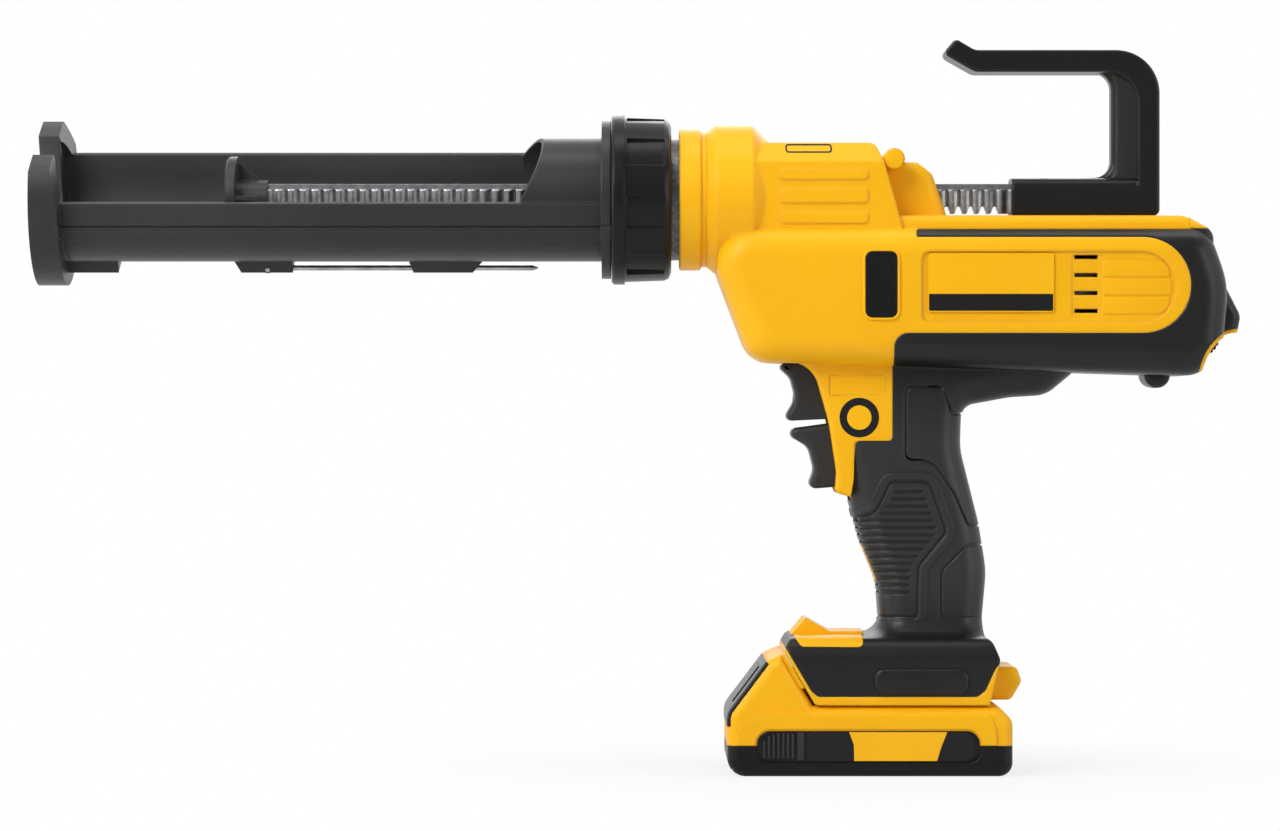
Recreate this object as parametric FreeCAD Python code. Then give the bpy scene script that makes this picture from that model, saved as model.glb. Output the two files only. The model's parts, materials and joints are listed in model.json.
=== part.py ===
import FreeCAD, Part
import math
import os
from FreeCAD import Vector

# A cordless caulking tool: an open cartridge carriage on a screwed collar, a toothed rod that pushes the
# cartridge, and a pistol-grip power unit that stands on its slide-on battery.
# Frame: millimetres, +Z up, +X towards the rear, origin at the middle of the battery's flat bottom face.

# Main lines
BARREL_Z = 250.0
MOTOR_Z = 211.9
DRIVE_X = -20.0
FOOT_Z = 30.7
RUN_GAP = 0.05
SLIDE_GAP = 0.3
SEAT_GAP = 0.02
LAP = 1.0
EDGE_TOLERANCE = 0.1

# Cartridge carriage, measured about the barrel axis before it is rolled
CARRIAGE_FRONT = -362.5
CARRIAGE_ROLL = 27.0
BORE_R = 25.4
CARRIAGE_WALL = 1.6
RIM_HEIGHT = 10.5
RAIL_STEP = 0.8
RAIL_DROP = 5.6
END_PLATE = 9.0
END_FLANGE_R = 37.5
END_FLANGE_LENGTH = 12.5
EAR_HEIGHT = 26.0
EAR_HALF = 21.0
EAR_SIDE = 4.0
NOZZLE_SLOT_R = 10.0
HOOD_START = -151.0
HOOD_SLANT = 10.0
RING_R = 34.6
RING_FRONT = -115.8
RING_LENGTH = 4.0
SPIGOT_R = 28.4
SPIGOT_LENGTH = 8.0
TAB_HALF = 8.5
TAB_DEPTH = 31.2
TAB_SPANS = ((-351.0, -328.5, 0.0, 0.0), (-278.5, -251.8, 4.0, 0.0), (-201.3, -166.7, 2.5, 6.0))

# Piercing rod under the carriage
PIERCER_R = 1.2
PIERCER_SIDE = -6.0
PIERCER_DROP = 30.0
PIERCER_PIVOT = -263.0
PIERCER_TIP = -144.0
PIERCER_EYE_R = 2.3
PIERCER_EYE_HALF = 1.0
PIERCER_PIN_R = 1.0
PIERCER_PIN_END = -1.0
PIERCER_GAP = 0.25

# Collar, sleeve and nose ring
COLLAR_R = 36.0
COLLAR_RIM_R = 37.1
COLLAR_RIM = 5.7
COLLAR_REAR = -85.5
COLLAR_LIP = 4.2
COLLAR_RIBS = 8
COLLAR_RECESS = 1.5
COLLAR_RECESS_FRONT = 1.0
COLLAR_RECESS_REAR = 3.0
COLLAR_CHAMFER = 1.0
COLLAR_ROUND = ((3.0, 0.6), (1.0, 1.6), (0.0, 4.0))
THREAD_SETBACK = 0.2
RETAINER_R = 31.0
RETAINER_LENGTH = 2.6
WASHER_LENGTH = 1.6
SLEEVE_R = 26.5
SLEEVE_WALL = 4.0
SLEEVE_BORE_R = 11.0
SLEEVE_FLANGE_R = 28.8
SLEEVE_FLANGE = 4.0
NOSE_RING_R = 30.9
NOSE_RING_FRONT = -82.0
NOSE_GROOVE_R = 29.4
NOSE_GROOVE = 2.2
NOSE_RING_CHAMFER = 0.8

# Rod: rack, plunger and pull handle
RACK_TOP = 6.8
RACK_BOTTOM = 6.0
RACK_HALF = 4.0
RACK_PITCH = 5.26
RACK_FRONT = -276.0
RACK_REAR = 121.0
RACK_TEETH_FRONT = -258.0
RACK_TEETH = 60
RACK_FLUTE = 0.7
RACK_FLUTE_SET = 0.28
RACK_SPINE = 2.6
PLUNGER_FRONT = -279.8
PLUNGER_R = 19.0
PLUNGER_DISC = 4.4
PLUNGER_HUB_R = 8.6
PLUNGER_HUB_REAR = -262.0
PLUNGER_RIBS = 4
PLUNGER_RIB = 2.4
PLUNGER_RIB_SET = 1.5
PLUNGER_RIB_END = 2.0
PLUNGER_CHAMFER = 1.2
PLUNGER_SCREW_R = 2.4
PLUNGER_SCREW_SINK = 0.6
PLUNGER_SLOT = 0.8
PLUNGER_SLOT_HALF = 0.5
HANDLE_HALF = 11.0
HANDLE_FRONT = 63.2
HANDLE_BACK = 127.6
HANDLE_UPRIGHT = 20.6
HANDLE_ARM_TOP = 315.0
HANDLE_ARM = 9.6
HANDLE_TIP_X = 36.0
HANDLE_SLEEVE_TOP = 9.2
HANDLE_SLEEVE_BOTTOM = 7.4
HANDLE_EDGE = 1.0
HANDLE_WEB_HALF = 5.5
HANDLE_WEB_EDGE = 2.5
HANDLE_WEB_LAP = 0.8
HANDLE_WEB_SET = 8.0
HANDLE_STRIP_ROUND = 14.0
HANDLE_SLEEVE_ROUND = 5.0
HANDLE_SLEEVE_EDGE = 1.5
HANDLE_SCREW_R = 2.0
HANDLE_SCREW_SET = 14.0
HANDLE_SCREW_NECK = 1.2
HANDLE_SCREW_HEAD_R = 3.6
HANDLE_SCREW_HEAD = 1.4

# Housing
SHELL_WALL = 3.2
SKIN = 1.6
NOSE_R = 32.5
NOSE_FRONT = -70.2
NOSE_CHAMFER = 4.0
NOSE_BACK = -50.0
BARREL_HALF = 27.5
BARREL_TOP = 24.1
BARREL_SHOULDER = 15.5
BARREL_CROWN_HALF = 16.0
GUIDE_HALF = 13.0
GUIDE_TOP = 16.2
GUIDE_EDGE = 5.0
BODY_HALF = 34.0
BODY_EDGE = 11.0
BODY_TOP = 237.0
DECK_TOP = 242.3
DECK_HALF = 26.0
DECK_EDGE = 4.0
GRIP_HALF = 19.5
GRIP_EDGE = 11.5
FOOT_HALF = 36.5
FOOT_TOP = 60.0
FOOT_ROUND = 10.0
HOOD_HALF = 13.0
HOOD_EDGE = 4.0
SCOOP_X = 162.7
SCOOP_Z = 173.2
SCOOP_R = 18.6
PANEL_BOTTOM = 191.1
PANEL_TOP = 232.5
PANEL_END = 117.6
PANEL_STRIPE = 3.6
TOP_BOSS = (11.8, 267.5)
TOP_BOSS_R = 4.6
LOW_BOSS = (126.3, 173.2)
LOW_BOSS_R = 5.4
BOSS_HALF = 12.0
PAD_BANDS = ((257.5, 262.3), (247.4, 254.0), (238.6, 243.9))
PAD_FRONT = -38.6
PAD_REAR = -0.4
PAD_CORNER = 2.0
PAD_PROUD = 0.6
PLATE_OUTLINE = ((25.0, 200.0, 1.5), (79.3, 200.0, 1.5), (79.3, 225.5, 1.5), (25.0, 225.5, 1.5))
PLATE_DEPTH = 0.6
PLATE_THICK = 0.5
REAR_BLOCK_HALF = 20.0
REAR_BLOCK_EDGE = 2.5
INLAY_HALF = 8.0
INLAY_Z = (83.0, 99.0)
GUARD_HALF = 15.0
VENT_X = 93.2
VENT_LENGTH = 10.0
VENT_HEIGHT = 1.75
VENT_TOP = 223.8
VENT_STEP = 7.75
VENT_COUNT = 4

# Housing screws, entered from the far side
SCREW_SPOTS = (TOP_BOSS, LOW_BOSS, (-46.0, 190.5), (139.0, 226.0), (30.0, 112.0), (24.0, 186.0), (45.0, 62.0))
SCREW_R = 1.5
SCREW_HEAD_R = 2.8
SCREW_HEAD = 2.4
SCREW_HEAD_Y = 8.5
SCREW_DEPTH = 8.0
SCREW_BOSS_R = 4.2

# Triggers, lock-off shuttle and speed dial
TRIGGER_HALF = 11.0
TRIGGER_EDGE = 1.6
TRIGGER_MOUTH_X = -3.0
TRIGGER_MOUTH_LOW = 118.4
TRIGGER_MOUTH_HIGH = 178.6
TRIGGER_TRAVEL = 6.0
TRIGGER_STEM_R = 2.0
TRIGGER_STEM_Z = 166.0
TRIGGER_STEM_REACH = 4.0
TRIGGER_BACK = -8.0
UPPER_ROUND_X = -30.0
LOWER_ROUND_X = -21.0
RELEASE_PIVOT = (-6.5, 147.0)
RELEASE_PIN_R = 1.5
RELEASE_PIN_HALF = 15.0
PIN_POST_WALL = 2.5
SWITCH_FRONT = 0.5
SWITCH_LENGTH = 26.0
SWITCH_HALF = 9.5
SWITCH_TOP = 177.0
SWITCH_HEIGHT = 25.0
SWITCH_POST = 5.0
STEM_ROOM = 6.0
SPRING_ROOM = 2.0
SPRING_R = 3.6
SPRING_WALL = 0.8
LOCK_X = 4.95
LOCK_Z = 211.95
LOCK_LENGTH = 13.3
LOCK_HEIGHT = 28.1
LOCK_CORNER = 2.6
LOCK_PROUD = 0.6
LOCK_PAD = 6.0
LOCK_BAR = 5.0
LOCK_BAR_SET = 0.6
DIAL_X = 146.2
DIAL_Z = 189.8
DIAL_R = 8.4
DIAL_HALF = 4.0
DIAL_NOTCHES = 24
DIAL_NOTCH_R = 0.7
DIAL_NOTCH_SET = 0.25
DIAL_PIN_R = 1.5
DIAL_PIN_HALF = 9.0

# Drive train
PRESSURE_ANGLE = 20.0
ADDENDUM = 0.85
RACK_ADDENDUM = 0.75
TOOTH_ROOM = 0.25
TOOTH_SHARE = 0.93
PINION_TEETH = 14
PINION_BACK = -5.0
PINION_FACE = 9.2
SHAFT_R = 3.4
FRAME_INNER = 21.0
FRAME_PLATE = 2.6
FRAME_EDGE = 9.0
FRAME_CORNER = 4.0
FRAME_POST_R = 6.0
DOG_R = 8.0
BUSH_WALL = 1.5
FLANK_STEPS = 4
REAR_GUIDE_X = 14.0
REAR_GUIDE_LENGTH = 12.0
FRONT_GUIDE_X = -76.0
FRONT_GUIDE_LENGTH = 12.0
GUIDE_WALL = 2.2
BEVEL_MODULE = 1.2
BEVEL_PINION_TEETH = 14
BEVEL_WHEEL_TEETH = 28
BEVEL_FACE = 5.0
BEVEL_SHARE = 0.8
BEVEL_ADDENDUM = 0.55
BEVEL_BACK_STEP = 2.6
BEVEL_BACK = 1.6
BEVEL_HUB = 2.0
HUB_WALL = 1.6
SPUR_SMALL_TEETH = 12
SPUR_LARGE_TEETH = 24
SPUR_FRONT = 11.2
SPUR_FACE = 5.6
PLANET_MODULE = 0.8
SUN_TEETH = 12
PLANET_TEETH = 18
PLANETS = 3
PLANET_FACE = 10.0
PLANET_FRONT = 45.0
BEARING_R = 5.5
BEARING_LENGTH = 4.0
RING_WALL = 2.0
CASE_WALL = 2.0
CARRIER_DISC = 4.0
CARRIER_ROOM = 1.0
PLANET_PIN_R = 2.0
CARRIER_RIM = 2.0
OUTPUT_R = 4.0
OUTPUT_FRONT = -6.5
MOTOR_R = 19.0
MOTOR_WALL = 1.5
MOTOR_FRONT = 60.0
MOTOR_LENGTH = 58.0
MOTOR_CAP = 9.0
ROTOR_R = 13.0
ROTOR_GAP = 0.6
ROTOR_LENGTH = 40.0
ROTOR_SET = 4.0
ROTOR_SHAFT_R = 2.5
MAGNET_GAP = 4.0
CRADLE = 3.0
CRADLE_TOP = 24.0
MOTOR_CRADLE_SET = 6.0
CASE_CRADLE_SET = 4.0

# Battery pack
PACK_HALF_X = 61.5
PACK_HALF = 37.5
PACK_SPLIT = 13.4
PACK_WALL = 2.2
PACK_EDGE = 5.0
PACK_GAP = 0.4
FOOT_FRONT_SET = 24.3
FOOT_REAR_SET = 5.5
TOWER_HALF = 22.0
TOWER_TOP = 44.0
TOWER_FRONT_SET = 1.2
TOWER_REAR_SET = 12.0
RAIL_SET = 16.0
RAIL_LOW = 33.4
RAIL_HIGH = 36.4
RAIL_BITE = 3.6
CELL_R = 9.2
CELL_LENGTH = 65.0
CELL_PITCH = 18.6
BAR_FRONT_SET = 12.7
BAR_REAR_SET = 14.4
BAR_Z = (6.5, 19.8)
BAR_PROUD = 1.0
BAR_CORNER = 3.0
BLADES = 4
BLADE_STEP = 9.0
BLADE_THICK = 0.8
BLADE_X = 18.0
BLADE_LENGTH = 12.0
BLADE_LOW = 38.0
TERMINAL_HALF = 16.0
TERMINAL_HEIGHT = 6.0
TERMINAL_EDGE = 4.0
LEAD_R = 1.3
LEAD_Y = 4.0
LEAD_LAP = 2.0
BOARD_HALF = 28.0
BOARD_THICK = 1.6
LATCH_DEPTH = 5.0
LATCH_HALF = 13.0
LATCH_LOW = 8.5
LATCH_HIGH = 23.0
LATCH_PROUD = 0.8
LATCH_TRAVEL = 3.0
LATCH_RIBS = 4
LATCH_GROOVE = 0.8
LATCH_MARGIN = 2.0
GAUGE_START = 5.0
GAUGE_LENGTH = 19.0
GAUGE_HALF = 16.0
GAUGE_THICK = 0.8
PACK_BOSS_SET_X = 9.0
PACK_BOSS_SET_Y = 8.0
PACK_BOSS_R = 3.6
PACK_SCREW = 8.0
PACK_WELL = 3.0
FLOOR_THICK = 2.5

# Derived places
CARRIAGE_R = BORE_R + CARRIAGE_WALL
COLLAR_FRONT = RING_FRONT + RING_LENGTH
SPIGOT_REAR = COLLAR_FRONT + SPIGOT_LENGTH
SLEEVE_FRONT = SPIGOT_REAR + WASHER_LENGTH
RETAINER_FRONT = COLLAR_FRONT + COLLAR_LIP + 2 * SLIDE_GAP
RACK_MODULE = RACK_PITCH / math.pi
PITCH_LINE_Z = BARREL_Z - RACK_BOTTOM + RACK_ADDENDUM * RACK_MODULE
PINION_R = PINION_TEETH * RACK_MODULE / 2
PINION_Z = PITCH_LINE_Z - PINION_R
SPUR_MODULE = 2 * (PINION_Z - MOTOR_Z) / (SPUR_SMALL_TEETH + SPUR_LARGE_TEETH)
RING_TEETH = SUN_TEETH + 2 * PLANET_TEETH
PLANET_ORBIT = PLANET_MODULE * (SUN_TEETH + PLANET_TEETH) / 2
RING_R_OUT = PLANET_MODULE * RING_TEETH / 2 + PLANET_MODULE + RING_WALL
RING_BACK = PLANET_FRONT + PLANET_FACE
CASE_R = RING_R_OUT + CASE_WALL
CASE_FRONT = PLANET_FRONT - CARRIER_DISC - CASE_WALL - CARRIER_ROOM
MOTOR_REAR = MOTOR_FRONT + MOTOR_LENGTH
BEVEL_PINION_R = BEVEL_MODULE * BEVEL_PINION_TEETH / 2
BEVEL_WHEEL_R = BEVEL_MODULE * BEVEL_WHEEL_TEETH / 2
TUNNEL_HALF = TOWER_HALF + SLIDE_GAP
TUNNEL_TOP = TOWER_TOP + SLIDE_GAP
FLOOR_TOP = TUNNEL_TOP + FLOOR_THICK
FOOT_FRONT = FOOT_FRONT_SET - PACK_HALF_X
FOOT_REAR = PACK_HALF_X - FOOT_REAR_SET
TOWER_FRONT = FOOT_FRONT + TOWER_FRONT_SET
TOWER_REAR = FOOT_REAR - TOWER_REAR_SET
RAIL_FRONT = TOWER_FRONT + RAIL_SET
LATCH_X = PACK_HALF_X - LATCH_DEPTH
PACK_BOSS_X = PACK_HALF_X - PACK_BOSS_SET_X
PACK_BOSS_Y = PACK_HALF - PACK_BOSS_SET_Y
CELLS = math.floor(2 * (PACK_BOSS_X - PACK_BOSS_R) / CELL_PITCH)
FAR = 400.0

# Outlines in X and Z, each corner with its rounding
BODY_OUTLINE = (
    (-73.0, BODY_TOP, 16.0), (147.0, BODY_TOP, 14.0), (155.8, 212.0, 40.0), (153.0, 182.0, 14.0),
    (142.0, 172.6, 14.0), (-51.0, 178.9, 13.0),
)
DECK_OUTLINE = (
    (0.0, 225.0, 0.0), (0.0, DECK_TOP, 0.0), (137.0, DECK_TOP, 12.0), (149.5, 235.5, 6.0),
    (149.5, 225.0, 0.0),
)
GRIP_OUTLINE = (
    (-42.0, 195.0, 0.0), (-42.0, 180.0, 0.0), (-25.0, 178.6, 9.0), (-11.6, 133.0, 40.0), (-8.2, 119.5, 20.0),
    (-3.4, 101.5, 30.0), (4.2, 83.0, 30.0), (5.8, 62.0, 0.0), (5.8, 48.5, 0.0), (50.2, 48.5, 0.0),
    (50.2, 68.0, 40.0), (52.0, 88.0, 40.0), (48.6, 109.0, 60.0), (40.6, 141.0, 30.0), (41.2, 159.6, 6.5),
    (62.0, 163.4, 30.0), (78.0, 164.4, 14.0), (92.0, 176.0, 0.0), (92.0, 195.0, 0.0),
)
FOOT_OUTLINE = (
    (FOOT_FRONT, 54.0, 3.0), (FOOT_FRONT + 3.2, FOOT_TOP, 4.0), (FOOT_REAR - 4.0, FOOT_TOP, 6.0),
    (FOOT_REAR, 50.5, 3.0), (FOOT_REAR - 4.5, FOOT_Z, 0.0), (FOOT_FRONT + 13.6, FOOT_Z, 2.0),
)
GUARD_OUTLINE = (
    (FOOT_FRONT + 3.8, FOOT_TOP, 0.0), (FOOT_FRONT + 10.0, 67.5, 1.0), (FOOT_FRONT + 20.5, 61.6, 3.0),
    (FOOT_FRONT + 35.2, 61.6, 0.0), (FOOT_FRONT + 35.2, FOOT_TOP, 0.0),
)
REAR_BLOCK = (
    (FOOT_REAR - 12.0, 32.0, 0.0), (FOOT_REAR - 12.0, 46.5, 0.0), (FOOT_REAR + 8.5, 46.5, 3.0),
    (FOOT_REAR + 10.7, 40.0, 3.0), (FOOT_REAR + 6.0, 32.0, 3.0),
)
SPINE_OUTLINE = (
    (138.0, 228.0, 0.0), (152.6, 228.0, 3.0), (155.8, 213.0, 6.0), (163.0, 199.0, 6.0), (161.2, 189.9, 2.0),
    (138.0, 189.9, 0.0),
)
GUIDE_OUTLINE = (
    (-8.0, BARREL_Z - 16.0, 0.0), (-8.0, BARREL_Z + GUIDE_TOP, 0.0), (22.0, BARREL_Z + GUIDE_TOP, 5.0),
    (28.5, BARREL_Z + 11.0, 5.0), (35.0, BARREL_Z - 8.0, 0.0), (35.0, BARREL_Z - 16.0, 0.0),
)
BARREL_OUTLINE = (
    (-60.0, BARREL_Z - 22.0, 0.0), (-60.0, BARREL_Z + BARREL_TOP, 0.0), (3.0, BARREL_Z + BARREL_TOP, 4.0),
    (6.5, BARREL_Z + BARREL_SHOULDER, 6.0), (17.0, BARREL_Z - 22.0, 0.0),
)
BLACK_REGION = (
    (10.5, 144.5, 2.0), (10.5, PANEL_BOTTOM, 6.0), (20.3, PANEL_BOTTOM, 0.0),
    (20.3, PANEL_TOP + PANEL_STRIPE, 1.5), (139.0, PANEL_TOP + PANEL_STRIPE, 0.0), (139.0, 250.0, 0.0),
    (180.0, 250.0, 0.0), (180.0, 160.0, 0.0), (75.0, 150.0, 0.0), (75.0, 60.0, 0.0),
    (FOOT_REAR + 2.0, 51.0, 0.0), (FOOT_REAR - 2.0, 46.6, 0.0), (FOOT_REAR - 6.5, 37.0, 3.0),
    (FOOT_REAR - 10.0, 34.4, 3.0), (FOOT_FRONT + 14.7, 34.4, 3.0), (FOOT_FRONT + 11.7, 37.0, 3.0),
    (FOOT_FRONT - 7.8, 70.0, 0.0), (-20.0, 75.0, 0.0), (-20.0, 119.0, 0.0), (-7.2, 119.8, 0.0),
    (-5.4, 144.5, 2.0),
)
UPPER_TRIGGER = (
    (-40.4, 178.2, 1.2), (-33.4, 172.0, 7.0), (-31.0, 163.0, 9.0), (-36.6, 154.0, 1.6), (-33.5, 152.5, 1.0),
    (TRIGGER_BACK, 154.4, 1.0), (TRIGGER_BACK, 178.2, 1.0),
)
LOWER_TRIGGER = (
    (-34.4, 150.6, 1.2), (-34.6, 147.0, 1.6), (-25.6, 141.8, 6.0), (-23.0, 132.0, 8.0), (-25.6, 125.6, 1.8),
    (-22.0, 123.2, 2.0), (-10.0, 124.6, 2.0), (-2.5, 140.0, 6.0), (-2.5, 151.6, 2.0), (-10.0, 152.4, 2.0),
)
HANDLE_STRIP = (
    (HANDLE_BACK - HANDLE_ARM, BARREL_Z - HANDLE_SLEEVE_BOTTOM, 0.0),
    (HANDLE_BACK - HANDLE_ARM, HANDLE_ARM_TOP - HANDLE_ARM, HANDLE_STRIP_ROUND),
    (HANDLE_TIP_X + 11.0, HANDLE_ARM_TOP - HANDLE_ARM, 7.0), (HANDLE_TIP_X - 3.1, HANDLE_ARM_TOP - 1.6, 2.5),
    (HANDLE_TIP_X + 2.6, HANDLE_ARM_TOP + 5.0, 2.5), (HANDLE_TIP_X + 11.0, HANDLE_ARM_TOP, 6.0),
    (HANDLE_BACK, HANDLE_ARM_TOP, 19.0), (HANDLE_BACK, BARREL_Z - HANDLE_SLEEVE_BOTTOM, 3.0),
)
HANDLE_WEB = (
    (HANDLE_FRONT + HANDLE_WEB_SET, BARREL_Z + HANDLE_SLEEVE_TOP - HANDLE_WEB_LAP, 0.0),
    (HANDLE_BACK - HANDLE_UPRIGHT, BARREL_Z + HANDLE_SLEEVE_TOP + HANDLE_WEB_LAP, 7.5),
    (HANDLE_BACK - HANDLE_UPRIGHT, HANDLE_ARM_TOP - HANDLE_ARM, 7.5),
    (HANDLE_FRONT + HANDLE_WEB_SET, HANDLE_ARM_TOP - HANDLE_ARM + HANDLE_WEB_LAP, 0.0),
    (HANDLE_BACK - HANDLE_ARM / 2, HANDLE_ARM_TOP - HANDLE_ARM / 2, 12.0),
    (HANDLE_BACK - HANDLE_ARM / 2, BARREL_Z, 0.0), (HANDLE_FRONT + HANDLE_WEB_SET, BARREL_Z, 0.0),
)
PACK_UPPER = (
    (-PACK_HALF_X, PACK_SPLIT, 0.0), (-PACK_HALF_X, 27.0, 8.0), (FOOT_FRONT - 6.8, 50.2, 5.0),
    (FOOT_FRONT - 0.8, 52.8, 0.0), (FOOT_FRONT + 12.6, FOOT_Z - PACK_GAP, 1.0),
    (PACK_HALF_X - 6.0, FOOT_Z - PACK_GAP, 6.0), (PACK_HALF_X, 24.0, 6.0), (PACK_HALF_X, PACK_SPLIT, 0.0),
)
PACK_LOWER = (
    (-PACK_HALF_X, PACK_SPLIT, 0.0), (PACK_HALF_X, PACK_SPLIT, 0.0), (PACK_HALF_X, 0.0, 6.0),
    (-PACK_HALF_X, 0.0, 8.0),
)


def flat(point):
    """Place an outline point in the XZ plane."""
    return Vector(point.x, 0, point.y)


def cross(point):
    """Place an outline point in the YZ plane."""
    return Vector(0, point.x, point.y)


def rounded_face(corners, place):
    """Make a face from straight runs joined by tangent arcs."""
    runs = []
    count = len(corners)
    for index, (u, v, radius) in enumerate(corners):
        corner = Vector(u, v, 0)
        back = Vector(*corners[index - 1][:2], 0) - corner
        ahead = Vector(*corners[(index + 1) % count][:2], 0) - corner
        half = back.getAngle(ahead) / 2
        if radius == 0:
            runs.append((corner, None, corner))
            continue
        back.normalize()
        ahead.normalize()
        middle = (back + ahead).normalize()
        reach = radius / math.tan(half)
        top = corner + middle * (radius / math.sin(half) - radius)
        runs.append((corner + back * reach, top, corner + ahead * reach))
    edges = []
    for index, (start, top, end) in enumerate(runs):
        following = runs[(index + 1) % count][0]
        if top is not None:
            edges.append(Part.Arc(place(start), place(top), place(end)).toShape())
        if end.distanceToPoint(following) > 1e-6:
            edges.append(Part.LineSegment(place(end), place(following)).toShape())
    return Part.Face(Part.Wire(edges))


def slab(corners, low, high):
    """Extrude an XZ outline between two Y planes."""
    face = rounded_face(corners, flat)
    face.translate(Vector(0, low, 0))
    return face.extrude(Vector(0, high - low, 0))


def sharp(*points):
    """Give each point of an outline a sharp corner."""
    return [(u, v, 0) for u, v in points]


def puff(corners, half, edge, inset=0.0, hidden=None):
    """Extrude an XZ outline to both sides and round its side edges, all shrunk by an inset."""
    face = rounded_face(corners, flat)
    if inset:
        face = face.makeOffset2D(-inset)
    face.translate(Vector(0, -(half - inset), 0))
    body = face.extrude(Vector(0, 2 * (half - inset), 0))
    radius = edge - inset
    if radius <= 0.1:
        return body
    rims = []
    for rim in body.Edges:
        on_side = all(abs(abs(vertex.Y) - half + inset) < 1e-6 for vertex in rim.Vertexes)
        if on_side and not (hidden and hidden(rim.CenterOfMass)):
            rims.append(rim)
    return body.makeFillet(radius, rims)


def box(x_low, x_high, y_low, y_high, z_low, z_high):
    """Make a box between three pairs of planes."""
    size = Vector(x_high - x_low, y_high - y_low, z_high - z_low)
    return Part.makeBox(size.x, size.y, size.z, Vector(x_low, y_low, z_low))


def rod_x(radius, low, high, y=0.0, z=0.0):
    """Make a round bar along X."""
    return Part.makeCylinder(radius, high - low, Vector(low, y, z), Vector(1, 0, 0))


def rod_y(radius, low, high, x, z):
    """Make a round bar along Y."""
    return Part.makeCylinder(radius, high - low, Vector(x, low, z), Vector(0, 1, 0))


def tube_x(outer, inner, low, high, z=0.0):
    """Make a round tube along X."""
    return rod_x(outer, low, high, 0, z).cut(rod_x(inner, low - 1, high + 1, 0, z))


def turned(profile, z):
    """Turn a profile of X and radius pairs about an X axis at a height."""
    points = [Vector(x, 0, radius) for x, radius in profile]
    face = Part.Face(Part.makePolygon(points + points[:1]))
    body = face.revolve(Vector(0, 0, 0), Vector(1, 0, 0), 360)
    body.translate(Vector(0, 0, z))
    return body


def joined(shapes):
    """Fuse shapes into one and merge the faces that run on."""
    return shapes[0].fuse(list(shapes[1:])).removeSplitter()


def on_barrel(shape):
    """Roll a carriage piece about the barrel axis and lift it to its height."""
    shape.rotate(Vector(0, 0, 0), Vector(1, 0, 0), CARRIAGE_ROLL)
    shape.translate(Vector(0, 0, BARREL_Z))
    return shape


# Carriage group
def carriage():
    """Open trough with its end plate, closed rear hood, ring, spigot and under tabs."""
    bed_start = CARRIAGE_FRONT + END_PLATE
    end = CARRIAGE_FRONT + END_FLANGE_LENGTH
    rim_half = CARRIAGE_R + RAIL_STEP
    ears = sharp(
        (-FAR, -FAR), (-FAR, EAR_SIDE), (-EAR_HALF, EAR_HEIGHT), (EAR_HALF, EAR_HEIGHT), (FAR, EAR_SIDE),
        (FAR, -FAR),
    )
    ears_face = rounded_face(ears, cross)
    ears_face.translate(Vector(CARRIAGE_FRONT, 0, 0))
    ears_body = ears_face.extrude(Vector(END_FLANGE_LENGTH, 0, 0))
    flange = rod_x(END_FLANGE_R, CARRIAGE_FRONT, end).common(ears_body)
    solids = [
        rod_x(CARRIAGE_R, CARRIAGE_FRONT, RING_FRONT + LAP),
        box(CARRIAGE_FRONT, RING_FRONT + LAP, -rim_half, rim_half, 0, RIM_HEIGHT),
        box(CARRIAGE_FRONT, RING_FRONT + LAP, -CARRIAGE_R, CARRIAGE_R, -RAIL_DROP, LAP),
        rod_x(RING_R, RING_FRONT, COLLAR_FRONT),
        rod_x(SPIGOT_R, RING_FRONT, SPIGOT_REAR),
        flange,
    ]
    for front, rear, lead, trail in TAB_SPANS:
        top = -CARRIAGE_R + 2 * CARRIAGE_WALL
        foot = sharp((front, top), (rear, top), (rear - trail, -TAB_DEPTH), (front + lead, -TAB_DEPTH))
        solids.append(slab(foot, -TAB_HALF, TAB_HALF))
    body = joined(solids)
    sky = 2 * CARRIAGE_R
    mouth = sharp(
        (end, RIM_HEIGHT), (HOOD_START, RIM_HEIGHT), (HOOD_START + HOOD_SLANT, CARRIAGE_R),
        (HOOD_START + HOOD_SLANT, sky), (bed_start, sky), (bed_start, EAR_HEIGHT),
        (end, RIM_HEIGHT + RAIL_STEP),
    )
    straight = slab(
        sharp((bed_start, 0), (HOOD_START, 0), (HOOD_START, RIM_HEIGHT + LAP), (bed_start, RIM_HEIGHT + LAP)),
        -BORE_R, BORE_R,
    )
    nozzle = joined([
        rod_x(NOZZLE_SLOT_R, CARRIAGE_FRONT - LAP, bed_start + LAP),
        box(CARRIAGE_FRONT - LAP, bed_start + LAP, -NOZZLE_SLOT_R, NOZZLE_SLOT_R, 0, FAR),
    ])
    eye_gap = PIERCER_EYE_R + 2 * PIERCER_GAP
    slot_half = PIERCER_R + PIERCER_GAP
    low, high = PIERCER_SIDE - slot_half, PIERCER_SIDE + slot_half
    cuts = [
        rod_x(BORE_R, bed_start, SPIGOT_REAR + LAP),
        straight,
        slab(mouth, -FAR, FAR),
        nozzle,
        box(PIERCER_PIVOT - eye_gap, PIERCER_TIP, low, high, -FAR, -PIERCER_DROP + slot_half),
        rod_y(eye_gap, low, high, PIERCER_PIVOT, -PIERCER_DROP),
        rod_y(PIERCER_PIN_R + SEAT_GAP, -TAB_HALF - LAP, PIERCER_PIN_END + LAP, PIERCER_PIVOT, -PIERCER_DROP),
    ]
    return on_barrel(body.cut(cuts))


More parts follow.
